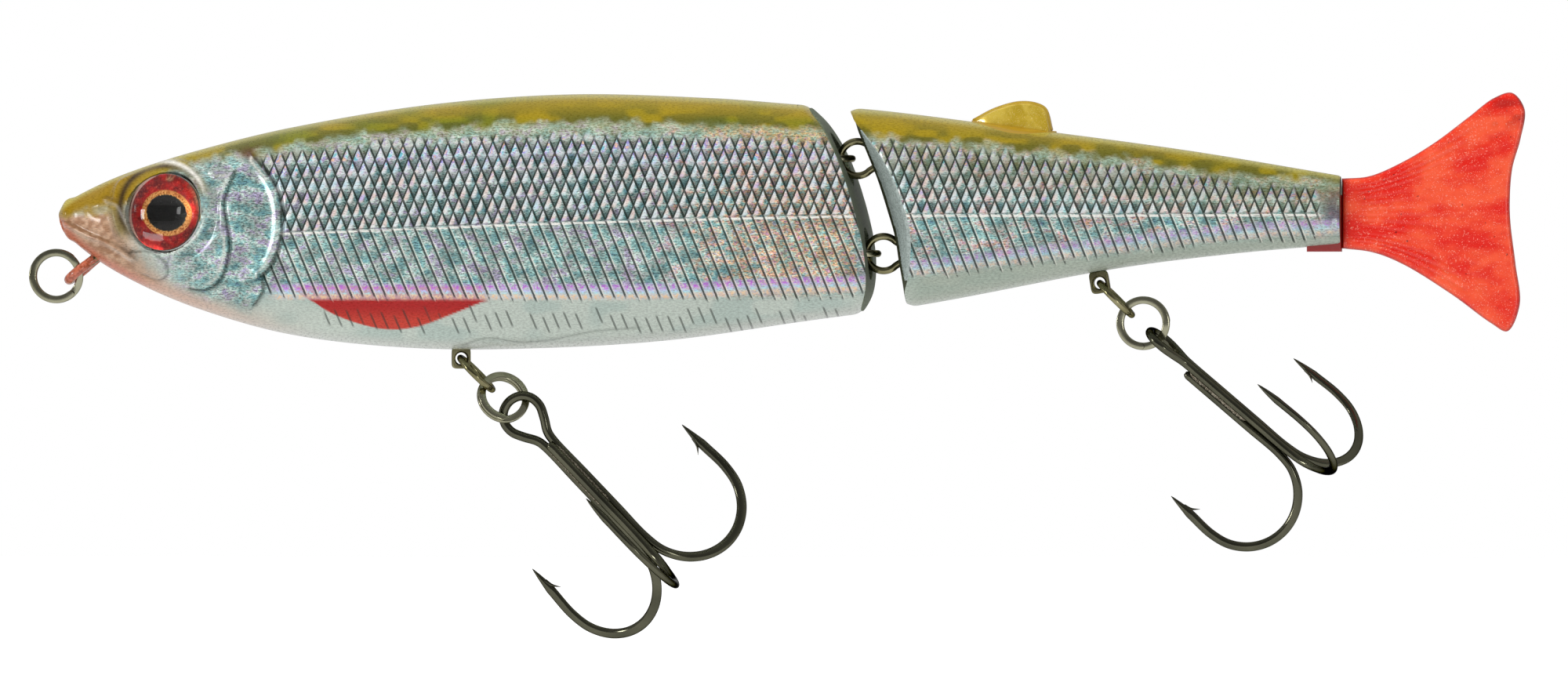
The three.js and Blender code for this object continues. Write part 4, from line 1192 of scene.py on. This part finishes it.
def front_grid():
    """The right half of the front section, whose nose is rounded off."""
    stations = graded([(0, 1.2, 0.06), (1.2, 30, 0.16), (30, FRONT_END, 0.26)])
    angles = np.linspace(-math.pi / 2, math.pi / 2, 177)
    points = body_grid(stations, angles, end_face=front_end)
    from_nose = points[..., 0] / NOSE["blunt"]
    narrow = np.sqrt(np.clip(1 - (1 - np.clip(from_nose, 0, 1)) ** 2, NOSE["tip"] ** 2, 1))
    narrow = narrow * (1 + NOSE["lip"] * bump_at(points[..., 0] - NOSE["blunt"], 0.8))
    points[..., 1] *= narrow
    points[..., 2] = NOSE["z"] + (points[..., 2] - NOSE["z"]) * narrow
    return rounded_rim(sculpted(points, True), -1)


def bevelled(y, z):
    """The rear section's front face."""
    return rear_face(z) + rear_bevel(y)


def rear_grid():
    """The right half of the rear section."""
    stations = graded([(REAR_START, 150, 0.21), (150, TAIL_ROOT, 0.19)])
    angles = np.linspace(-math.pi / 2, math.pi / 2, 169)
    points = body_grid(stations, angles, start_face=bevelled)
    points = rounded_rim(sculpted(points, False), 0, 1.3, 0.4)
    return rounded_rim(points, -1, 0.4, 0.15)


def pocketed(y, z):
    """The front section's rear face, with a round pocket at each of its wire eyes."""
    x = front_face(z)
    for eye in JOINT_EYES.values():
        inside = smoothstep(JOINT["pocket"] + 0.06, JOINT["pocket"] - 0.12, np.hypot(y, z - eye["z"]))
        floor = eye["front"] - JOINT["pocket_depth"]
        x = x - inside * np.clip(x - floor, 0, None)
    return x


def flat_end(y, _):
    """The rear section's end, where the tail fin leaves it."""
    return np.full(y.shape, TAIL_ROOT)


def build_body(materials):
    """The four skins: two halves of each section."""
    for name, side in (("left", -1), ("right", 1)):
        half_body(f"front_skin_{name}", front_grid(), [(-1, pocketed, GRANULAR, GRANULAR)],
                  "front_section", f"front_shell_{name}", side, materials)
        rear_caps = [(0, bevelled, JOINT_SHADE, PALE), (-1, flat_end, GRANULAR, GRANULAR)]
        half_body(f"rear_skin_{name}", rear_grid(), rear_caps, "rear_section", f"rear_shell_{name}", side,
                  materials)


# ---- eyes ----
def iris_disc(name, side, material):
    """A foil disc, which holds how far each point lies from the pupil and from the rim."""
    half = IRIS["thickness"] / 2
    radii = np.linspace(0, IRIS["radius"], IRIS["rings"] + 1)
    profile = [(0, -half), (IRIS["radius"], -half)] + [(r, half) for r in radii[::-1]]
    origin, axis = eye_spot(side, IRIS["out"]), eye_axis(side)
    points, faces = lathe(profile, origin, axis, 120)
    offset = points - origin
    across, up = offset[:, 0], offset[:, 2]
    pupil_across = (across + PUPIL["forward"]) / PUPIL["wide"]
    ring = np.hypot(pupil_across, (up + across * PUPIL["lean"]) / PUPIL["high"])
    rim = np.linalg.norm(offset - (offset @ axis)[:, None] * axis, axis=1) / IRIS["radius"]
    angle = np.degrees(np.arctan2(up, across))
    # Where the painted highlights lie on the red: a crescent towards the tail and a short mark at the top.
    iris_highlight = bump_at(angle - 12, 26) * bump_at(rim - 0.79, 0.05)
    iris_highlight = iris_highlight + 0.6 * bump_at(angle - 88, 5) * bump_at(rim - 0.8, 0.04)
    make_piece(f"iris_{name}", points, faces, "front_section", [material], [f"iris_disc_{name}"], "iris_foil",
               40, values={"ring_place": ring, "rim_place": rim, "iris_highlight": iris_highlight})


def lens_dome(name, side, material):
    """A clear dome over the foil disc."""
    turn = np.linspace(0, math.pi / 2, 34)
    dome = [(LENS["radius"] * math.cos(t), LENS["edge"] + LENS["dome"] * math.sin(t)) for t in turn]
    profile = [(0, 0), (LENS["radius"] - LENS["bevel"], 0), (LENS["radius"], LENS["bevel"])] + dome
    points, faces = lathe(profile, eye_spot(side, LENS["out"]), eye_axis(side), 120)
    make_piece(f"lens_{name}", points, faces, "front_section", [material], [f"eye_lens_{name}"],
               "clear_lens", 50)


def build_eyes(iris_material, lens_material):
    for name, side in (("left", -1), ("right", 1)):
        iris_disc(name, side, iris_material)
        lens_dome(name, side, lens_material)


# ---- wires, rings and swivels ----
def eye_line(centre, axis, across, loop, pinch, leg):
    """The centre line of a wire eye, from the end of one leg, round the loop, to the end of the other."""
    neck = loop * 1.45
    half = [(-leg, pinch), (-(leg + neck) / 2, pinch), (-neck, pinch)]
    for degrees in range(135, -1, -9):
        turn = math.radians(degrees)
        half.append((loop * math.cos(turn), loop * math.sin(turn)))
    both = half + [(a, -b) for a, b in half[-2::-1]]
    axis, across = unit(axis), np.asarray(across, float)
    return [np.asarray(centre) + a * axis + b * across for a, b in both]


def build_wire_eyes(bronze, brightened_bronze, tie_material):
    """The line tie, and the two pairs of linked eyes in the joint."""
    pinch = TIE["wire"] + TIE["gap"]
    line = curve_through(eye_line(TIE_HOLE, TIE_DIRECTION, (0, 1, 0), TIE["loop"], pinch, TIE["leg"]), 0.14)
    points, faces = wire(line, TIE["wire"], 28)
    along = (points - TIE_HOLE) @ unit(TIE_DIRECTION)
    worn = smoothstep(-1.2, -2.2, along) * smoothstep(-4.6, -3.8, along)
    make_piece("tie_wire", points, faces, "front_section", [tie_material], ["line_tie"], "tie_paint",
               values={"worn": worn})
    pinch = JOINT["wire"] + JOINT["gap"]
    for level, eye in JOINT_EYES.items():
        front = (eye["front"] - JOINT["loop"], 0, eye["z"])
        line = curve_through(eye_line(front, (1, 0, 0), (0, 1, 0), JOINT["loop"], pinch, JOINT["leg"]), 0.12)
        # The front eyes take the lighter copy of the bronze, as painted light.
        make_piece(f"front_wire_{level}", *wire(line, JOINT["wire"], 24), "front_section", [brightened_bronze],
                   [f"front_joint_eye_{level}"], "aged_bronze")
        rear = (eye["rear"] + JOINT["loop"], 0, eye["z"])
        line = curve_through(eye_line(rear, (-1, 0, 0), (0, 0, 1), JOINT["loop"], pinch, JOINT["leg"]), 0.12)
        make_piece(f"rear_wire_{level}", *wire(line, JOINT["wire"], 24), "rear_section", [bronze],
                   [f"rear_joint_eye_{level}"], "aged_bronze")


def split_ring(centre, radius, x, y, axis):
    """Two flat turns of wire side by side, which step across from one to the other half way round."""
    ends = SPLIT_WIRE["ends"]
    turns = np.linspace(ends, 2 - ends, 300)
    step = smoothstep(1 - ends, 1 + ends, turns) - 0.5
    corner = np.linspace(0, 2 * math.pi, 20, endpoint=False)
    power = 0.55
    radial = SPLIT_WIRE["radial"] * np.sign(np.cos(corner)) * np.abs(np.cos(corner)) ** power
    axial = SPLIT_WIRE["axial"] * np.sign(np.sin(corner)) * np.abs(np.sin(corner)) ** power
    tip = np.clip(np.minimum(turns - ends, 2 - ends - turns) / 0.02, 0, 1) ** 0.5
    reach = radius + radial[None] * (0.45 + 0.55 * tip[:, None])
    height = step[:, None] * SPLIT_WIRE["pitch"] + axial[None]
    angle = turns[:, None] * 2 * math.pi
    rings = (
        np.asarray(centre, float)
        + (reach * np.cos(angle))[..., None] * x
        + (reach * np.sin(angle))[..., None] * y
        + height[..., None] * axis
    )
    return tube(rings)


def closed_ring(centre, radius, thickness, x, y):
    """A round ring of round wire."""
    turn = np.linspace(0, 2 * math.pi, 128, endpoint=False)
    out = np.cos(turn)[:, None] * x + np.sin(turn)[:, None] * y
    up = np.cross(x, y)
    corner = np.linspace(0, 2 * math.pi, RING_SIDES, endpoint=False)
    reach = (radius + thickness * np.cos(corner))[None, :, None]
    height = (thickness * np.sin(corner))[None, :, None]
    rings = np.asarray(centre) + out[:, None] * reach + height * up
    return tube(rings, close_ends=False)


def swivel_frame(chain):
    """The swivel's directions: up its shaft, along its hole's axis, and across both."""
    up = -unit(chain["shaft"])
    y = turned((0, 1, 0), up, chain["yaw"])
    return up, y, np.cross(y, up)


def swivel_stem():
    """The outline of the swivel's stem and head, as (radius, height above the hole)."""
    stem, head, chamfer = SWIVEL["stem"], SWIVEL["head"], SWIVEL["chamfer"]
    low = SWIVEL["mouth"] + SWIVEL["stem_length"]
    high = low + SWIVEL["head_height"]
    return [
        (0, SWIVEL["root"]), (stem, SWIVEL["root"]), (stem, low), (head - chamfer, low),
        (head, low + chamfer), (head, high - chamfer), (head - chamfer, high), (0, high),
    ]


def swivel_piece(chain):
    """The turning part of a swivel: a drilled, flattened eye below a shoulder, a stem and a head."""
    up, y, x = swivel_frame(chain)
    origin = np.array(chain["hole"], float)
    turn = np.linspace(0, 2 * math.pi, 96, endpoint=False)
    round_it = np.column_stack([np.cos(turn), np.sin(turn)])
    power = SWIVEL["square"]
    squared = round_it * (np.abs(round_it) ** power).sum(1, keepdims=True) ** (-1 / power)
    reach = np.where(round_it[:, 1] > 0, SWIVEL["mouth"] - SWIVEL["gap"], SWIVEL["eye"])
    outer = squared * np.column_stack([np.full(len(turn), SWIVEL["wide"]), reach])
    narrower = outer * (1 - SWIVEL["outer_bevel"] * 0.6)
    inner = round_it * SWIVEL["hole"]
    wider = round_it * (SWIVEL["hole"] + SWIVEL["inner_bevel"])
    half = SWIVEL["half"]

    def ring(shape, depth):
        return origin + shape[:, :1] * x + shape[:, 1:] * up + depth * y

    outer_half, inner_half = half - SWIVEL["outer_bevel"], half - SWIVEL["inner_bevel"]
    rings = [
        ring(narrower, -half), ring(outer, -outer_half), ring(outer, outer_half), ring(narrower, half),
        ring(wider, half), ring(inner, inner_half), ring(inner, -inner_half), ring(wider, -half),
    ]
    return joined(tube(rings, close_ends=False), lathe(swivel_stem(), origin, up, 40))


# ---- trebles ----
def hook_line(scale):
    """(down the shank, out) points of one hook's centre line, from the shank's top to its point."""
    bend_at, bend, point_at, lean = HOOK["bend_at"], HOOK["bend"], HOOK["point_at"], HOOK["lean"]
    line = [(0, 0), (bend_at * 0.35, 0), (bend_at * 0.7, 0)]
    for step in range(9):
        turn = math.radians(-90 + 22.5 * step)
        line.append((bend_at + bend * math.cos(turn), bend * (1 + math.sin(turn))))
    line += [((bend_at + point_at) / 2, 2 * bend - lean / 2), (point_at, 2 * bend - lean)]
    return [(along * scale, out * scale) for along, out in line]


def needle(distance, scale):
    """The wire's radius at a distance from the hook's point: a long ground taper."""
    share = np.clip(distance / (HOOK["taper"] * scale), 0, 1)
    return HOOK["wire"] * scale * (0.05 + 0.95 * share**0.8)


def barb_piece(spot, scale):
    """A barb: a thin sliver raised from the wire, which leans back from the point."""
    height = 2 * HOOK["bend"] - HOOK["lean"]
    start = HOOK["point_at"] + HOOK["barb_at"]
    tip = (start + 0.9, height - HOOK["wire"] - 0.65)
    line = [(start - 1.0, height - 0.1), (start - 0.1, height - 0.42), tip]
    line = curve_through([spot(along * scale, out * scale) for along, out in line], 0.12)
    return wire(line, np.linspace(0.3, 0.02, len(line)) * scale, 12)


def treble_frame(treble):
    """The treble's directions: out along its single hook, across, and down its shank."""
    down = unit(treble["direction"])
    single = turned((0, -1, 0), down, -treble["roll"])
    return single, np.cross(down, single), down


def hook_in_space(treble, leg, out):
    """A function that places (down the shank, out) on one hook of a treble, and the hook's way out."""
    x, y, down = treble_frame(treble)
    base = np.array(treble["top"], float) + leg[0] * x + leg[1] * y
    away = out[0] * x + out[1] * y

    def spot(along, reach):
        return base + down * along + away * reach

    return spot, away


def flat_in_bend(line, spot, away, down, scale):
    """How flat the wire is forged at each point of a line, and across which plane."""
    offset = line - spot(0, 0)
    share = smoothstep(0.6, 2.6, offset @ away / scale) * smoothstep(9.5, 13.5, offset @ down / scale)
    return 0.2 * share, np.repeat(unit(np.cross(down, away))[None], len(line), 0)


def double_hook(treble):
    """Two hooks bent from one wire, with the eye between them, as points and faces."""
    scale = treble["scale"]
    _, y, down = treble_frame(treble)
    top = np.array(treble["top"], float)
    apart = HOOK["wire"] + 0.05
    c, s = math.cos(math.radians(120)), math.sin(math.radians(120))
    hooks = [hook_in_space(treble, (0, side * apart), (c, side * s)) for side in (1, -1)]
    first, last = [[spot(along, out) for along, out in hook_line(scale)] for spot, _ in hooks]
    eye = [top + y * width * scale - down * up * scale for up, width in HOOK_EYE[1:]]
    eye += [top - y * width * scale - down * up * scale for up, width in HOOK_EYE[-2:0:-1]]
    line = curve_through(first[::-1] + eye + last, 0.22)
    along = lengths_along(line)
    radius = needle(np.minimum(along, along[-1] - along), scale)
    on_first = along < along[-1] / 2
    flats = [flat_in_bend(line, spot, away, down, scale) for spot, away in hooks]
    flat = np.where(on_first, flats[0][0], flats[1][0])
    across = np.where(on_first[:, None], flats[0][1], flats[1][1])
    return joined(wire(line, radius, 24, flat, across), *[barb_piece(spot, scale) for spot, _ in hooks])


def single_hook(treble):
    """The hook that is brazed to the double one, as points and faces."""
    scale = treble["scale"]
    down = treble_frame(treble)[2]
    spot, away = hook_in_space(treble, (HOOK["wire"] * HOOK["single_out"], 0), (1, 0))
    line = curve_through([spot(along, out) for along, out in hook_line(scale)], 0.22)
    along = lengths_along(line)
    start = np.clip(along / 0.5, 0, 1) ** 0.5
    radius = needle(along[-1] - along, scale) * (0.5 + 0.5 * start)
    flat, across = flat_in_bend(line, spot, away, down, scale)
    return joined(wire(line, radius, 24, flat, across), barb_piece(spot, scale))


def braze(treble):
    """The bead of braze in the groove between the three shanks."""
    scale = treble["scale"]
    x, y, down = treble_frame(treble)
    top = np.array(treble["top"], float)
    places = np.arange(0.5, HOOK["braze"] * scale, 0.13)
    rng = np.random.default_rng(5)
    beads = []
    for side in (1, -1):
        wobble = rng.normal(0, 0.035, len(places))
        line = np.array([top + down * s + x * (0.55 + w) + y * side * 0.42 for s, w in zip(places, wobble)])
        ends = np.clip(np.minimum(places - places[0], places[-1] - places) / 0.8, 0.08, 1) ** 0.5
        beads.append(wire(line, (0.34 + rng.normal(0, 0.025, len(places))) * ends, 14))
    return joined(*beads)


def build_chain(name, chain, nickel, bronze, ring_metal, bead_metal):
    """A swivel eye, its link, its split ring and its treble."""
    make_piece(f"{name}_swivel", *swivel_piece(chain), f"{name}_swivel", [bronze], [f"{name}_swivel_eye"],
               "aged_bronze", 40)
    direction = unit(LINK_DIRECTION)
    centre = np.array(chain["hole"]) + direction * (LINK["loop"] - chain["play"])
    link = closed_ring(centre, LINK["loop"], LINK["wire"], direction, np.array([0, 1.0, 0]))
    make_piece(f"{name}_link", *link, f"{name}_link_ring", [bronze], [f"{name}_link_ring"], "aged_bronze")
    across = turned((0, 1, 0), direction, chain["split"]["tilt"])
    other = -np.cross(direction, across)
    ring = split_ring(chain["split"]["centre"], chain["split"]["radius"], direction, other, across)
    make_piece(f"{name}_split", *ring, f"{name}_split_ring", [ring_metal], [f"{name}_split_ring"],
               "aged_bronze", 50)
    pair, beads = double_hook(chain["treble"]), braze(chain["treble"])
    kinds = [0] * len(pair[1]) + [1] * len(beads[1])
    make_piece(f"{name}_hook_pair", *joined(pair, beads), f"{name}_treble", [nickel, bead_metal],
               [f"{name}_treble_double"], "black_nickel", kinds=kinds)
    make_piece(f"{name}_hook_single", *single_hook(chain["treble"]), f"{name}_treble", [nickel],
               [f"{name}_treble_single"], "black_nickel")


# ---- fins ----
def patch(front, rear, low, high, rows, columns):
    """A grid of points that fills four edges: rows run from front to rear, columns from low to high."""
    front, rear = resampled(front, columns)[None], resampled(rear, columns)[None]
    low, high = resampled(low, rows)[:, None], resampled(high, rows)[:, None]
    s = np.linspace(0, 1, rows)[:, None, None]
    t = np.linspace(0, 1, columns)[None, :, None]
    front_chord = (1 - t) * front[:, :1] + t * front[:, -1:]
    rear_chord = (1 - t) * rear[:, :1] + t * rear[:, -1:]
    return (1 - t) * low + t * high + (1 - s) * (front - front_chord) + s * (rear - rear_chord)


def edge_distance(grid):
    """Distance from each point of a grid to the grid's border."""
    border = np.vstack([grid[0], grid[-1], grid[:, 0], grid[:, -1]])
    gaps = [
        np.linalg.norm(grid[:, :, None] - stretch[None, None], axis=-1).min(2)
        for stretch in np.array_split(border, 12)
    ]
    return np.min(gaps, axis=0)


def pillow(grid, half):
    """A closed blade: a grid in the XZ plane with half its thickness at each point, none at the border."""
    rows, columns = half.shape
    ids = np.arange(rows * columns).reshape(rows, columns)
    back = ids.copy()
    back[1:-1, 1:-1] = rows * columns + np.arange((rows - 2) * (columns - 2)).reshape(rows - 2, columns - 2)
    half = half.copy()
    half[0] = half[-1] = 0
    half[:, 0] = half[:, -1] = 0
    near = np.stack([grid[..., 0], -half, grid[..., 1]], -1)
    far = near[1:-1, 1:-1] * (1, -1, 1)
    points = np.vstack([near.reshape(-1, 3), far.reshape(-1, 3)])

    def quads(order):
        return np.stack([order[:-1, :-1], order[1:, :-1], order[1:, 1:], order[:-1, 1:]], -1).reshape(-1, 4)

    return points, quads(ids).tolist() + quads(back)[:, ::-1].tolist()


def rim_profile(distance, reach):
    """From 0 at a blade's edge to 1 inside it, rounded."""
    return np.sqrt(1 - (1 - np.clip(distance / reach, 0, 1)) ** 2)


def split_at(outline, *corners):
    """The stretches of an outline between its start, the points nearest the corners, and its end."""
    places = [0] + [int(np.argmin(np.linalg.norm(outline - c, axis=1))) for c in corners] + [len(outline) - 1]
    return [outline[a : b + 1] for a, b in zip(places[:-1], places[1:])]


def doubled(values):
    """Values on a pillow's near face, repeated for its far one."""
    return np.concatenate([values.ravel(), values[1:-1, 1:-1].ravel()])


def tail_rays(x, z, columns, distance):
    """Fine rays that fan out over the tail, and the deeper ones along its two lobes."""
    fan = np.arctan2(z, x - TAIL["fan_from"])
    from_middle = np.abs(np.linspace(0, 1, columns)[None, :] - 0.5)
    lobes = np.sin(2 * math.pi * 9 * from_middle**1.3 * 2.2) * smoothstep(0.2, 0.45, from_middle)
    rays = 0.32 * np.sin(fan * 110) * blotches(x, z, 3.0, 20) + 0.9 * lobes * smoothstep(178, 166, x)
    return rays * smoothstep(158, 162, x) * smoothstep(0.4, 1.4, distance)


def tail_shade(x, z, rays, distance):
    """How dark the tail is: darker at its edge, painted shade at its root against the body and in the furrows
    between the rays, and a stain in the upper lobe.
    """
    shade = 0.6 * smoothstep(0.3, 0.05, distance) + 0.55 * smoothstep(159.0, 157.8, x)
    shade = shade + 0.12 * np.clip(-rays, 0, 1)
    stain = smoothstep(174, 178, x) * smoothstep(9.5, 12.5, z)
    stain = stain * smoothstep(0.35, 0.65, blotches(x, z, 0.9, 21))
    return np.clip(shade + 0.45 * stain, 0, 1)


def build_tail(material):
    """The ribbed blade, and the tongue that goes into the body's slot."""
    outline = curve_through(TAIL_OUTLINE, 0.1)
    high, rear, low = split_at(outline, TAIL["upper_tip"], TAIL["lower_tip"])
    front = np.array([TAIL_OUTLINE[-1], TAIL_OUTLINE[0]], float)
    rows, columns = 150, 170
    grid = patch(front, rear[::-1], low[::-1], high, rows, columns)
    x, z = grid[..., 0], grid[..., 1]
    distance = edge_distance(grid)
    rays = tail_rays(x, z, columns, distance)
    thick = TAIL["thickness"] * (1.0 - 0.3 * smoothstep(160, 178, x))
    half = thick / 2 * rim_profile(distance, 0.55) * (1 + 0.085 * rays - 0.05)
    start, end = TAIL["tongue"], TAIL_OUTLINE[0][0]
    bottom, top = TAIL["tongue_bottom"], TAIL["tongue_top"]
    tongue = plate_piece([(start, bottom), (end, bottom), (end, top), (start, top)], TAIL["thickness"], 0.2)
    shade = doubled(tail_shade(x, z, rays, distance))
    # The tongue takes the darkest red.
    values = {"edge": np.concatenate([shade, np.ones(len(tongue[0]))])}
    make_piece("tail_blade", *joined(pillow(grid, half), tongue), "rear_section", [material], ["tail_fin"],
               "red_pvc", 60, values=values)


def plate_piece(outline, thickness, bevel):
    """An upright plate with bevelled edges."""
    outline = np.array(outline, float)
    inner = outline + unit(outline.mean(0) - outline) * bevel
    half = thickness / 2
    rings = [(inner, -half), (outline, -half + bevel), (outline, half - bevel), (inner, half)]
    stacked = [np.column_stack([shape[:, 0], np.full(len(shape), y), shape[:, 1]]) for shape, y in rings]
    points, faces = tube(stacked)
    return points, [face[::-1] for face in faces]


def skin_height(x, y):
    """Height of the back at a distance from the nose and from the mid-plane."""
    top, bottom = back_line(x), belly_line(x)
    middle = bottom + (top - bottom) * WIDEST
    share = np.clip(np.abs(y) / half_width(x), 0, 1) ** SQUARENESS
    return middle + (top - middle) * (1 - share) ** (1 / SQUARENESS)


def dorsal_land():
    """The lens-shaped pad that the dorsal fin stands on, which follows the back."""
    rows, columns = 70, 40
    start, end = LAND["start"], LAND["end"]
    x = np.linspace(start, end, rows)[:, None] + np.zeros((1, columns))
    across = np.linspace(-1, 1, columns)[None]
    lens = np.clip(np.sin(math.pi * (x - start) / (end - start)), 0, 1) ** 0.7
    y = LAND["half_width"] * lens * across
    z = skin_height(x, y)
    top = np.stack([x, y, z + LAND["rise"] * (1 - across**4)], -1)
    bottom = np.stack([x, y, z - LAND["sink"]], -1)
    rings = np.concatenate([top, bottom[:, ::-1]], axis=1)
    points, faces = tube(rings)
    return points, [face[::-1] for face in faces]


def build_dorsal(material):
    """A fin with a thinner middle and a thick rim, on its pad."""
    outline = curve_through(DORSAL_OUTLINE, 0.06)
    high, rear = split_at(outline, DORSAL_OUTLINE[-2])
    low = np.array(DORSAL_BASE)
    front = np.array([low[0], high[0]])
    rear = np.vstack([rear, low[-1:]])[::-1]
    rows, columns = 110, 60
    grid = patch(front, rear, low, high, rows, columns)
    x, z = grid[..., 0], grid[..., 1]
    rim = np.linalg.norm(grid[:, :, None] - outline[None, None, ::3], axis=-1).min(2)
    body = np.clip(1.0 - 0.42 * smoothstep(0, 2.6, z - back_line(x)), 0, 1)
    step = 0.62 + 0.38 * smoothstep(0.28, 0.5, rim)
    half = DORSAL_THICKNESS / 2 * body * step * rim_profile(edge_distance(grid), 0.3)
    half = half * smoothstep(112.2, 115.2, x)
    land = dorsal_land()
    # The fin's rim takes some of the darker gold; the pad takes all of it, as painted shade below the fin.
    values = {"edge": np.concatenate([doubled(smoothstep(0.5, 0.25, rim) * 0.7), np.ones(len(land[0]))])}
    make_piece("dorsal_blade", *joined(pillow(grid, half), land), "rear_section", [material], ["dorsal_fin"],
               "gold_pearl", 50, values=values)


# ---- assembly ----
def dress_cad_nodes(bronze, lead):
    """Better materials on the CAD nodes that are kept."""
    for name, material in (
        ("front_ballast", lead), ("rear_ballast", lead),
        ("belly_swivel_barrel", bronze), ("rear_swivel_barrel", bronze),
    ):
        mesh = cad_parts[name].data
        mesh.materials.clear()
        mesh.materials.append(material)


bronze = metal_finish("olive_bronze", (116, 112, 80), (164, 158, 122), 0.2)
# A lighter copy of the bronze for the front eyes, which sit in the pockets: painted light, so that they look
# lit.
brightened_bronze = metal_finish("brightened_bronze", (150, 146, 116), (196, 192, 164), 0.24, edge=0.4)
ring_metal = metal_finish("ring_nickel", (140, 138, 114), (178, 176, 152), 0.16, 4.0, 0.0003)
nickel = metal_finish("black_nickel", (78, 78, 66), (104, 103, 86), 0.14, 5.0, 0.0002, 0.16)
bead_metal = metal_finish("braze", (70, 62, 50), (176, 168, 150), 0.34, 0.25, 0.03)
lead = metal_finish("lead", (70, 74, 80), (104, 108, 114), 0.6)
granular = face_finish("granular_olive", (112, 122, 98), (66, 76, 58), 0.55)
# Painted shade: the dark olive on the inner part of the rear section's front face, inside the joint.
joint_shade_finish = face_finish("dark_olive", (62, 66, 40), (36, 40, 24), 0.5)
pale_bevel = face_finish("pale_bevel", (176, 188, 184), (138, 150, 146), 0.28)

build_body([paint_finish(), granular, joint_shade_finish, pale_bevel])
build_eyes(iris_finish(), lens_finish())
build_wire_eyes(bronze, brightened_bronze, tie_finish())
nose_ring = split_ring(NOSE_RING["centre"], NOSE_RING["radius"], np.array([1.0, 0, 0]), np.array([0, 0, 1.0]),
                       np.array([0, -1.0, 0]))
make_piece("nose_split_ring", *nose_ring, "nose_ring", [ring_metal], ["nose_ring"], "aged_bronze", 50)
for chain_name, chain in CHAINS.items():
    build_chain(chain_name, chain, nickel, bronze, ring_metal, bead_metal)
build_tail(tail_finish())
build_dorsal(gold_finish())
dress_cad_nodes(bronze, lead)


# ---- floor, light and camera ----
def add_floor():
    """A plain pale floor below the hooks."""
    level = cad_box[0].z - 0.03
    reach = 3.0
    steps = 8
    side = np.linspace(-reach, reach, steps)
    points = np.array([(x, y, level) for x in side for y in side])
    mesh = bpy.data.meshes.new("floor")
    mesh.from_pydata(points.tolist(), [], quads_of(numbered(steps, steps))[:, ::-1].tolist())
    floor = bpy.data.objects.new("floor", mesh)
    bpy.context.scene.collection.objects.link(floor)
    finish = Finish("floor_paint", Roughness=0.9)
    grain = finish.noise(30, detail=2.0)
    pale = finish.mix(finish.ramp(grain, 0.3, 0.7), srgb(242, 242, 241), srgb(246, 246, 246))
    finish.set("Base Color", pale)
    finish.shader.inputs["Emission Color"].default_value = (1, 1, 1, 1)
    seen = finish.node("ShaderNodeLightPath", {}).outputs["Is Camera Ray"]
    finish.set("Emission Strength", finish.math("MULTIPLY", seen, 0.8))
    mesh.materials.append(finish.material)


def add_world():
    """A white studio: white where it is seen directly; in light and reflections, brighter behind and dimmer
    on the side that metal mirrors towards the viewer.
    """
    world = bpy.data.worlds.new("studio")
    bpy.context.scene.world = world
    world.use_nodes = True
    tree = world.node_tree
    background = tree.nodes["Background"]
    where = tree.nodes.new("ShaderNodeTexCoord")
    parts = tree.nodes.new("ShaderNodeSeparateXYZ")
    tree.links.new(where.outputs["Generated"], parts.inputs[0])
    fall = tree.nodes.new("ShaderNodeMapRange")
    fall.interpolation_type = "SMOOTHSTEP"
    fall.inputs["From Min"].default_value = -1.0
    fall.inputs["From Max"].default_value = 0.3
    fall.inputs["To Min"].default_value = 0.17
    fall.inputs["To Max"].default_value = 0.52
    tree.links.new(parts.outputs["Y"], fall.inputs["Value"])
    path = tree.nodes.new("ShaderNodeLightPath")
    level = tree.nodes.new("ShaderNodeMath")
    level.operation = "MAXIMUM"
    tree.links.new(fall.outputs[0], level.inputs[0])
    tree.links.new(path.outputs["Is Camera Ray"], level.inputs[1])
    background.inputs["Color"].default_value = (1, 1, 1, 1)
    tree.links.new(level.outputs[0], background.inputs["Strength"])


def add_light(name, spot, target, size, power, mirrored):
    """A soft rectangular light, in metres and watts."""
    data = bpy.data.lights.new(name, "AREA")
    data.shape = "RECTANGLE"
    data.size, data.size_y = size
    data.energy = power
    light = bpy.data.objects.new(name, data)
    bpy.context.scene.collection.objects.link(light)
    light.location = spot
    light.rotation_euler = (Vector(target) - Vector(spot)).to_track_quat("-Z", "Y").to_euler()
    light.visible_glossy = mirrored


def add_camera():
    """A long lens, square to the flank but a little towards the tail."""
    yaw = math.radians(6)
    target = Vector((0.0868, 0, -0.0086))
    distance = 2.0
    width = 0.1915
    data = bpy.data.cameras.new("camera")
    data.sensor_width = 36
    data.lens = data.sensor_width * distance / width
    camera = bpy.data.objects.new("camera", data)
    bpy.context.scene.collection.objects.link(camera)
    camera.location = target + Vector((math.sin(yaw), -math.cos(yaw), 0)) * distance
    camera.rotation_euler = (target - camera.location).to_track_quat("-Z", "Y").to_euler()
    bpy.context.scene.camera = camera


add_floor()
add_world()
middle = (cad_box[0] + cad_box[1]) / 2
add_light("key", middle + Vector((-0.1, -0.4, 0.75)), middle, (0.6, 0.3), 5.4, False)
add_light("nose_side", middle + Vector((-0.78, -0.4, 0.1)), middle, (0.1, 0.16), 1.3, True)
add_light("fill", middle + Vector((0.45, -0.8, -0.1)), middle, (0.12, 0.5), 1.4, True)
add_camera()
bpy.context.scene.view_settings.view_transform = "Standard"
